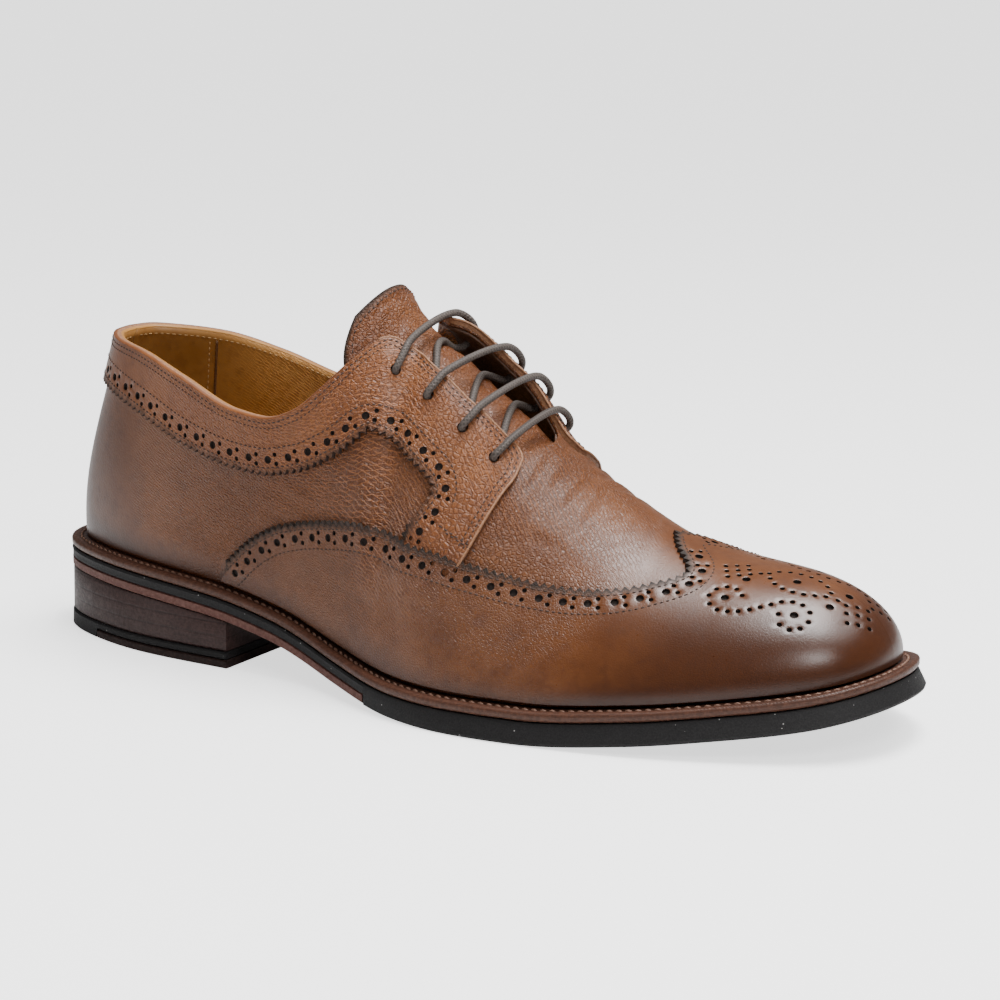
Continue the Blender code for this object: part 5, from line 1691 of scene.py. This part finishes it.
# %% Welt with its channel
# millimetres in from the sole's edge, millimetres of height, and whether from the top or the bottom
WELT_WIDTH = 13.0
PROFILE = [(1.5, 0.0, "t"), (0.8, -0.12, "t"), (0.25, -0.45, "t"), (0.05, -0.9, "t"), (0.1, 0.6, "b"),
           (0.7, 0.0, "b"), (WELT_WIDTH, 0.0, "b"), (WELT_WIDTH, 0.0, "t"), (8.0, 0.0, "t"), (5.6, 0.0, "t"),
           (4.3, -0.02, "t"), (3.75, -0.42, "t"), (3.1, -0.42, "t"), (2.6, -0.02, "t"), (2.0, 0.02, "t")]
rows, lays = [], []
for depth, dz, which in PROFILE:
    a, b = moved_in(depth)
    P = np.vstack([a, b[::-1][1:-1]])
    P = np.vstack([P, P[:1]])
    s = run_along(P)
    t = np.linspace(0, s[-1], 1100, endpoint=False)
    Q = points_at(t, s, P)
    z = (welt_top if which == "t" else welt_bottom)(Q[:, 0]) + dz
    rows.append(np.c_[Q, z])
    tick = ease((Q[:, 0] - 95) / 35) if which == "t" and depth < 2.3 and dz > -0.2 else 0 * t
    # painted shade on the welt top: the stitch channel and the strip from the upper inwards
    dark = 1.0 if which == "t" and (depth > 4.5 or 3.0 < depth < 3.9) else 0.0
    lays.append(np.stack([t / s[-1] * 840, tick, np.full(1100, dark)], -1))
welt = sweep("welt_strip", np.stack(rows, 1), [welt_look()], np.stack(lays, 1).reshape(-1, 3), closed=True)
sharpen(welt, 50)
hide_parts("welt")

# %% Sock inside the shoe
def beside_wall(gap):
    return lambda x: feather_depth(x) + UPPER_WALL + gap


sock = slab("sock_lining", [(beside_wall(2.2), lambda x: feather_height(x) + 3.0),
                            (beside_wall(1.1), lambda x: feather_height(x) + 2.5),
                            (beside_wall(1.0), lambda x: feather_height(x) + 0.2),
                            (WELT_WIDTH + 1.2, feather_height), (WELT_WIDTH + 1.2, welt_bottom)], LINING,
            count=110)
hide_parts("insole")

# %% [markdown]
# ## Stitches
# Every seam is a row of short threads. Each stitch is a small rounded bar with both ends drawn down into
# the leather. A row is one mesh, so it can be recoloured or removed in one go.

# %% One stitch, many times
# how far the ends of a stitch go down, in thread radii
SINK = 0.77


def threads(points, normals, pitch, length, radius, skew=0.0):
    """Vertices and faces for stitches laid along a line of points in space."""
    s = run_along(points)
    count = int(s[-1] / pitch)
    mid = (np.arange(count) + 0.5) * s[-1] / count
    C = points_at(mid, s, points)
    T = unit(points_at(mid + length / 2, s, points) - points_at(mid - length / 2, s, points))
    N = points_at(mid, s, normals)
    N = unit(N - T * (N * T).sum(1)[:, None])
    T = unit(T + np.cross(T, N) * skew)
    B = np.cross(T, N)
    a = 2 * np.pi * np.arange(6)[None, :, None] / 6
    verts = []
    for t, r in ((-0.5, 0.0), (-0.36, 0.78), (0.0, 1.0), (0.36, 0.78), (0.5, 0.0)):
        spine = (C + T * t * length - N * (SINK * (2 * t) ** 2 * radius))[:, None]
        verts.append(spine + radius * r * (np.cos(a) * B[:, None] + np.sin(a) * N[:, None]) if r else spine)
    faces = [(0, 1 + (k + 1) % 6, 1 + k) for k in range(6)]
    for b in (1, 7):
        faces += [(b + k, b + (k + 1) % 6, b + 6 + (k + 1) % 6, b + 6 + k) for k in range(6)]
    faces += [(13 + k, 13 + (k + 1) % 6, 19) for k in range(6)]
    return np.concatenate(verts, 1), faces


print("a stitch has 20 corners and 24 faces")

# %% Sewing a row
def sew(name, lines, look, pitch=1.9, length=1.45, radius=0.27, skew=0.0):
    """One mesh of stitches over several lines, each a pair of points and normals."""
    verts, faces, at = [], [], 0
    for points, normals in lines:
        V, F = threads(points, normals, pitch, length, radius, skew=skew)
        for k in range(len(V)):
            faces += [tuple(i + at for i in f) for f in F]
            at += V.shape[1]
        verts.append(V.reshape(-1, 3))
    obj = make_piece(name, np.vstack(verts), faces, [look], weld=False)
    print(name, "stitches", at // 20)
    return obj


def over(line, off):
    """Points and normals over the leather for a flat line."""
    P = lay_on(line, off)
    return P, faced_out(flat_frame(line)[2], P, (0, 3, 30))

# %% Seams of wing and facings
ON_WING, ON_FACING = WING_TOP + 0.03, FACING_TOP + 0.02
wing_lines = [over(own_side(line, side, 0.2), ON_WING)
              for seam in (UPPER_SEAM, LOWER_SEAM) for line, side in zip(seam, (-1, 1))]
sew("wing_stitches", wing_lines, BROWN_THREAD)
facing_lines = []
for side in (-1, 1):
    rows, edge_rows = FACING_LINES[side]
    facing_lines += [over(rows[0][3:-6], ON_FACING), over(rows[2][3:-14], ON_FACING)]
    facing_lines += [over(edge_rows[0][2:-8], ON_FACING), over(edge_rows[1][150:-8], ON_FACING)]
sew("facing_stitches", facing_lines, BROWN_THREAD)

# %% Second row along the collar, and the rim of the tongue
collar_lines = [over(FACING_LINES[s][1][1][2:150], ON_FACING) for s in (-1, 1)]
sew("collar_stitches", collar_lines, BROWN_THREAD, pitch=1.6, length=1.2, radius=0.22)


def beside_rim(rows):
    """Up one side of the tongue, over its top and down the other side."""
    return np.array([rows[i, 3] for i in range(40, n - 3)] + [rows[n - 4, j] for j in range(3, 58)]
                    + [rows[i, 57] for i in range(n - 5, 40, -1)])


sew("tongue_stitches", [(beside_rim(front), beside_rim(front - rear))], BROWN_THREAD,
    pitch=2.1, length=1.6, radius=0.28)

# %% Cut edge where the lining laps at the side
LAP = cut_leather("lining_cut_edge", (0.070, 0.028, 0.006), (0.12, 0.05, 0.012), rough=0.7)
LAP_BEAD = ((-0.45, -0.1), (-0.3, 0.42), (0.25, 0.30), (0.45, -0.1))
for side, name in ((-1, "lining_lap_outer"), (1, "lining_lap_inner")):
    v = np.linspace(0.965, 0.12, 60)
    u = np.full(60, 0.131)
    P, inward = skin(side, u, v, 0 * u - 1.80), -last_normal(side, u, v)
    b = np.cross(inward, headings(P))
    lap = sweep(name, np.stack([P + b * x + inward * y for x, y in LAP_BEAD], 1), [LAP])

# %% Seams of the lining
lining_lines = []
for side in (-1, 1):
    u = np.linspace(0.01, 0.45, 200)
    lining_lines.append((skin(side, u, throat_edge(side, u) - 0.028, 0 * u - 1.82),
                         -last_normal(side, u, u * 0 + 0.95)))
    v = np.linspace(0.96, 0.15, 80)
    for u in (np.full(80, 0.122), np.full(80, 0.130)):
        lining_lines.append((skin(side, u, v, 0 * u - 1.82), -last_normal(side, u, v)))
sew("lining_stitches", lining_lines, GOLD_THREAD, pitch=2.0, length=1.5, radius=0.24)

# %% Seam of the welt
a, b = moved_in(3.42)
P = np.vstack([a, b[::-1][1:]])
s = run_along(P)
Q = points_at(np.linspace(0, s[-1], 1400), s, P)
WELT_THREAD = cut_leather("welt_thread", (0.12, 0.055, 0.034), (0.20, 0.105, 0.066), scale=3.0, rough=0.55)
sew("welt_stitches", [(np.c_[Q, welt_top(Q[:, 0]) - 0.12], np.tile([0, 0, 1.0], (1400, 1)))],
    WELT_THREAD, pitch=2.9, length=2.5, radius=0.48, skew=0.22)

# %% Double bar where the facing is held down
bar = []
for du in (0.0, 0.007):
    for side in (-1, 1):
        more = 0.018 if side > 0 else 0.0
        q = smooth_line([to_flat(side, 0.545 + du + more, 0.492 - du),
                         to_flat(side, 0.576 + du + more, 0.488 - du)], 10)
        bar.append(over(evenly(q, 1.0), FACING_TOP + 0.04))
sew("facing_bars", bar, BROWN_THREAD)
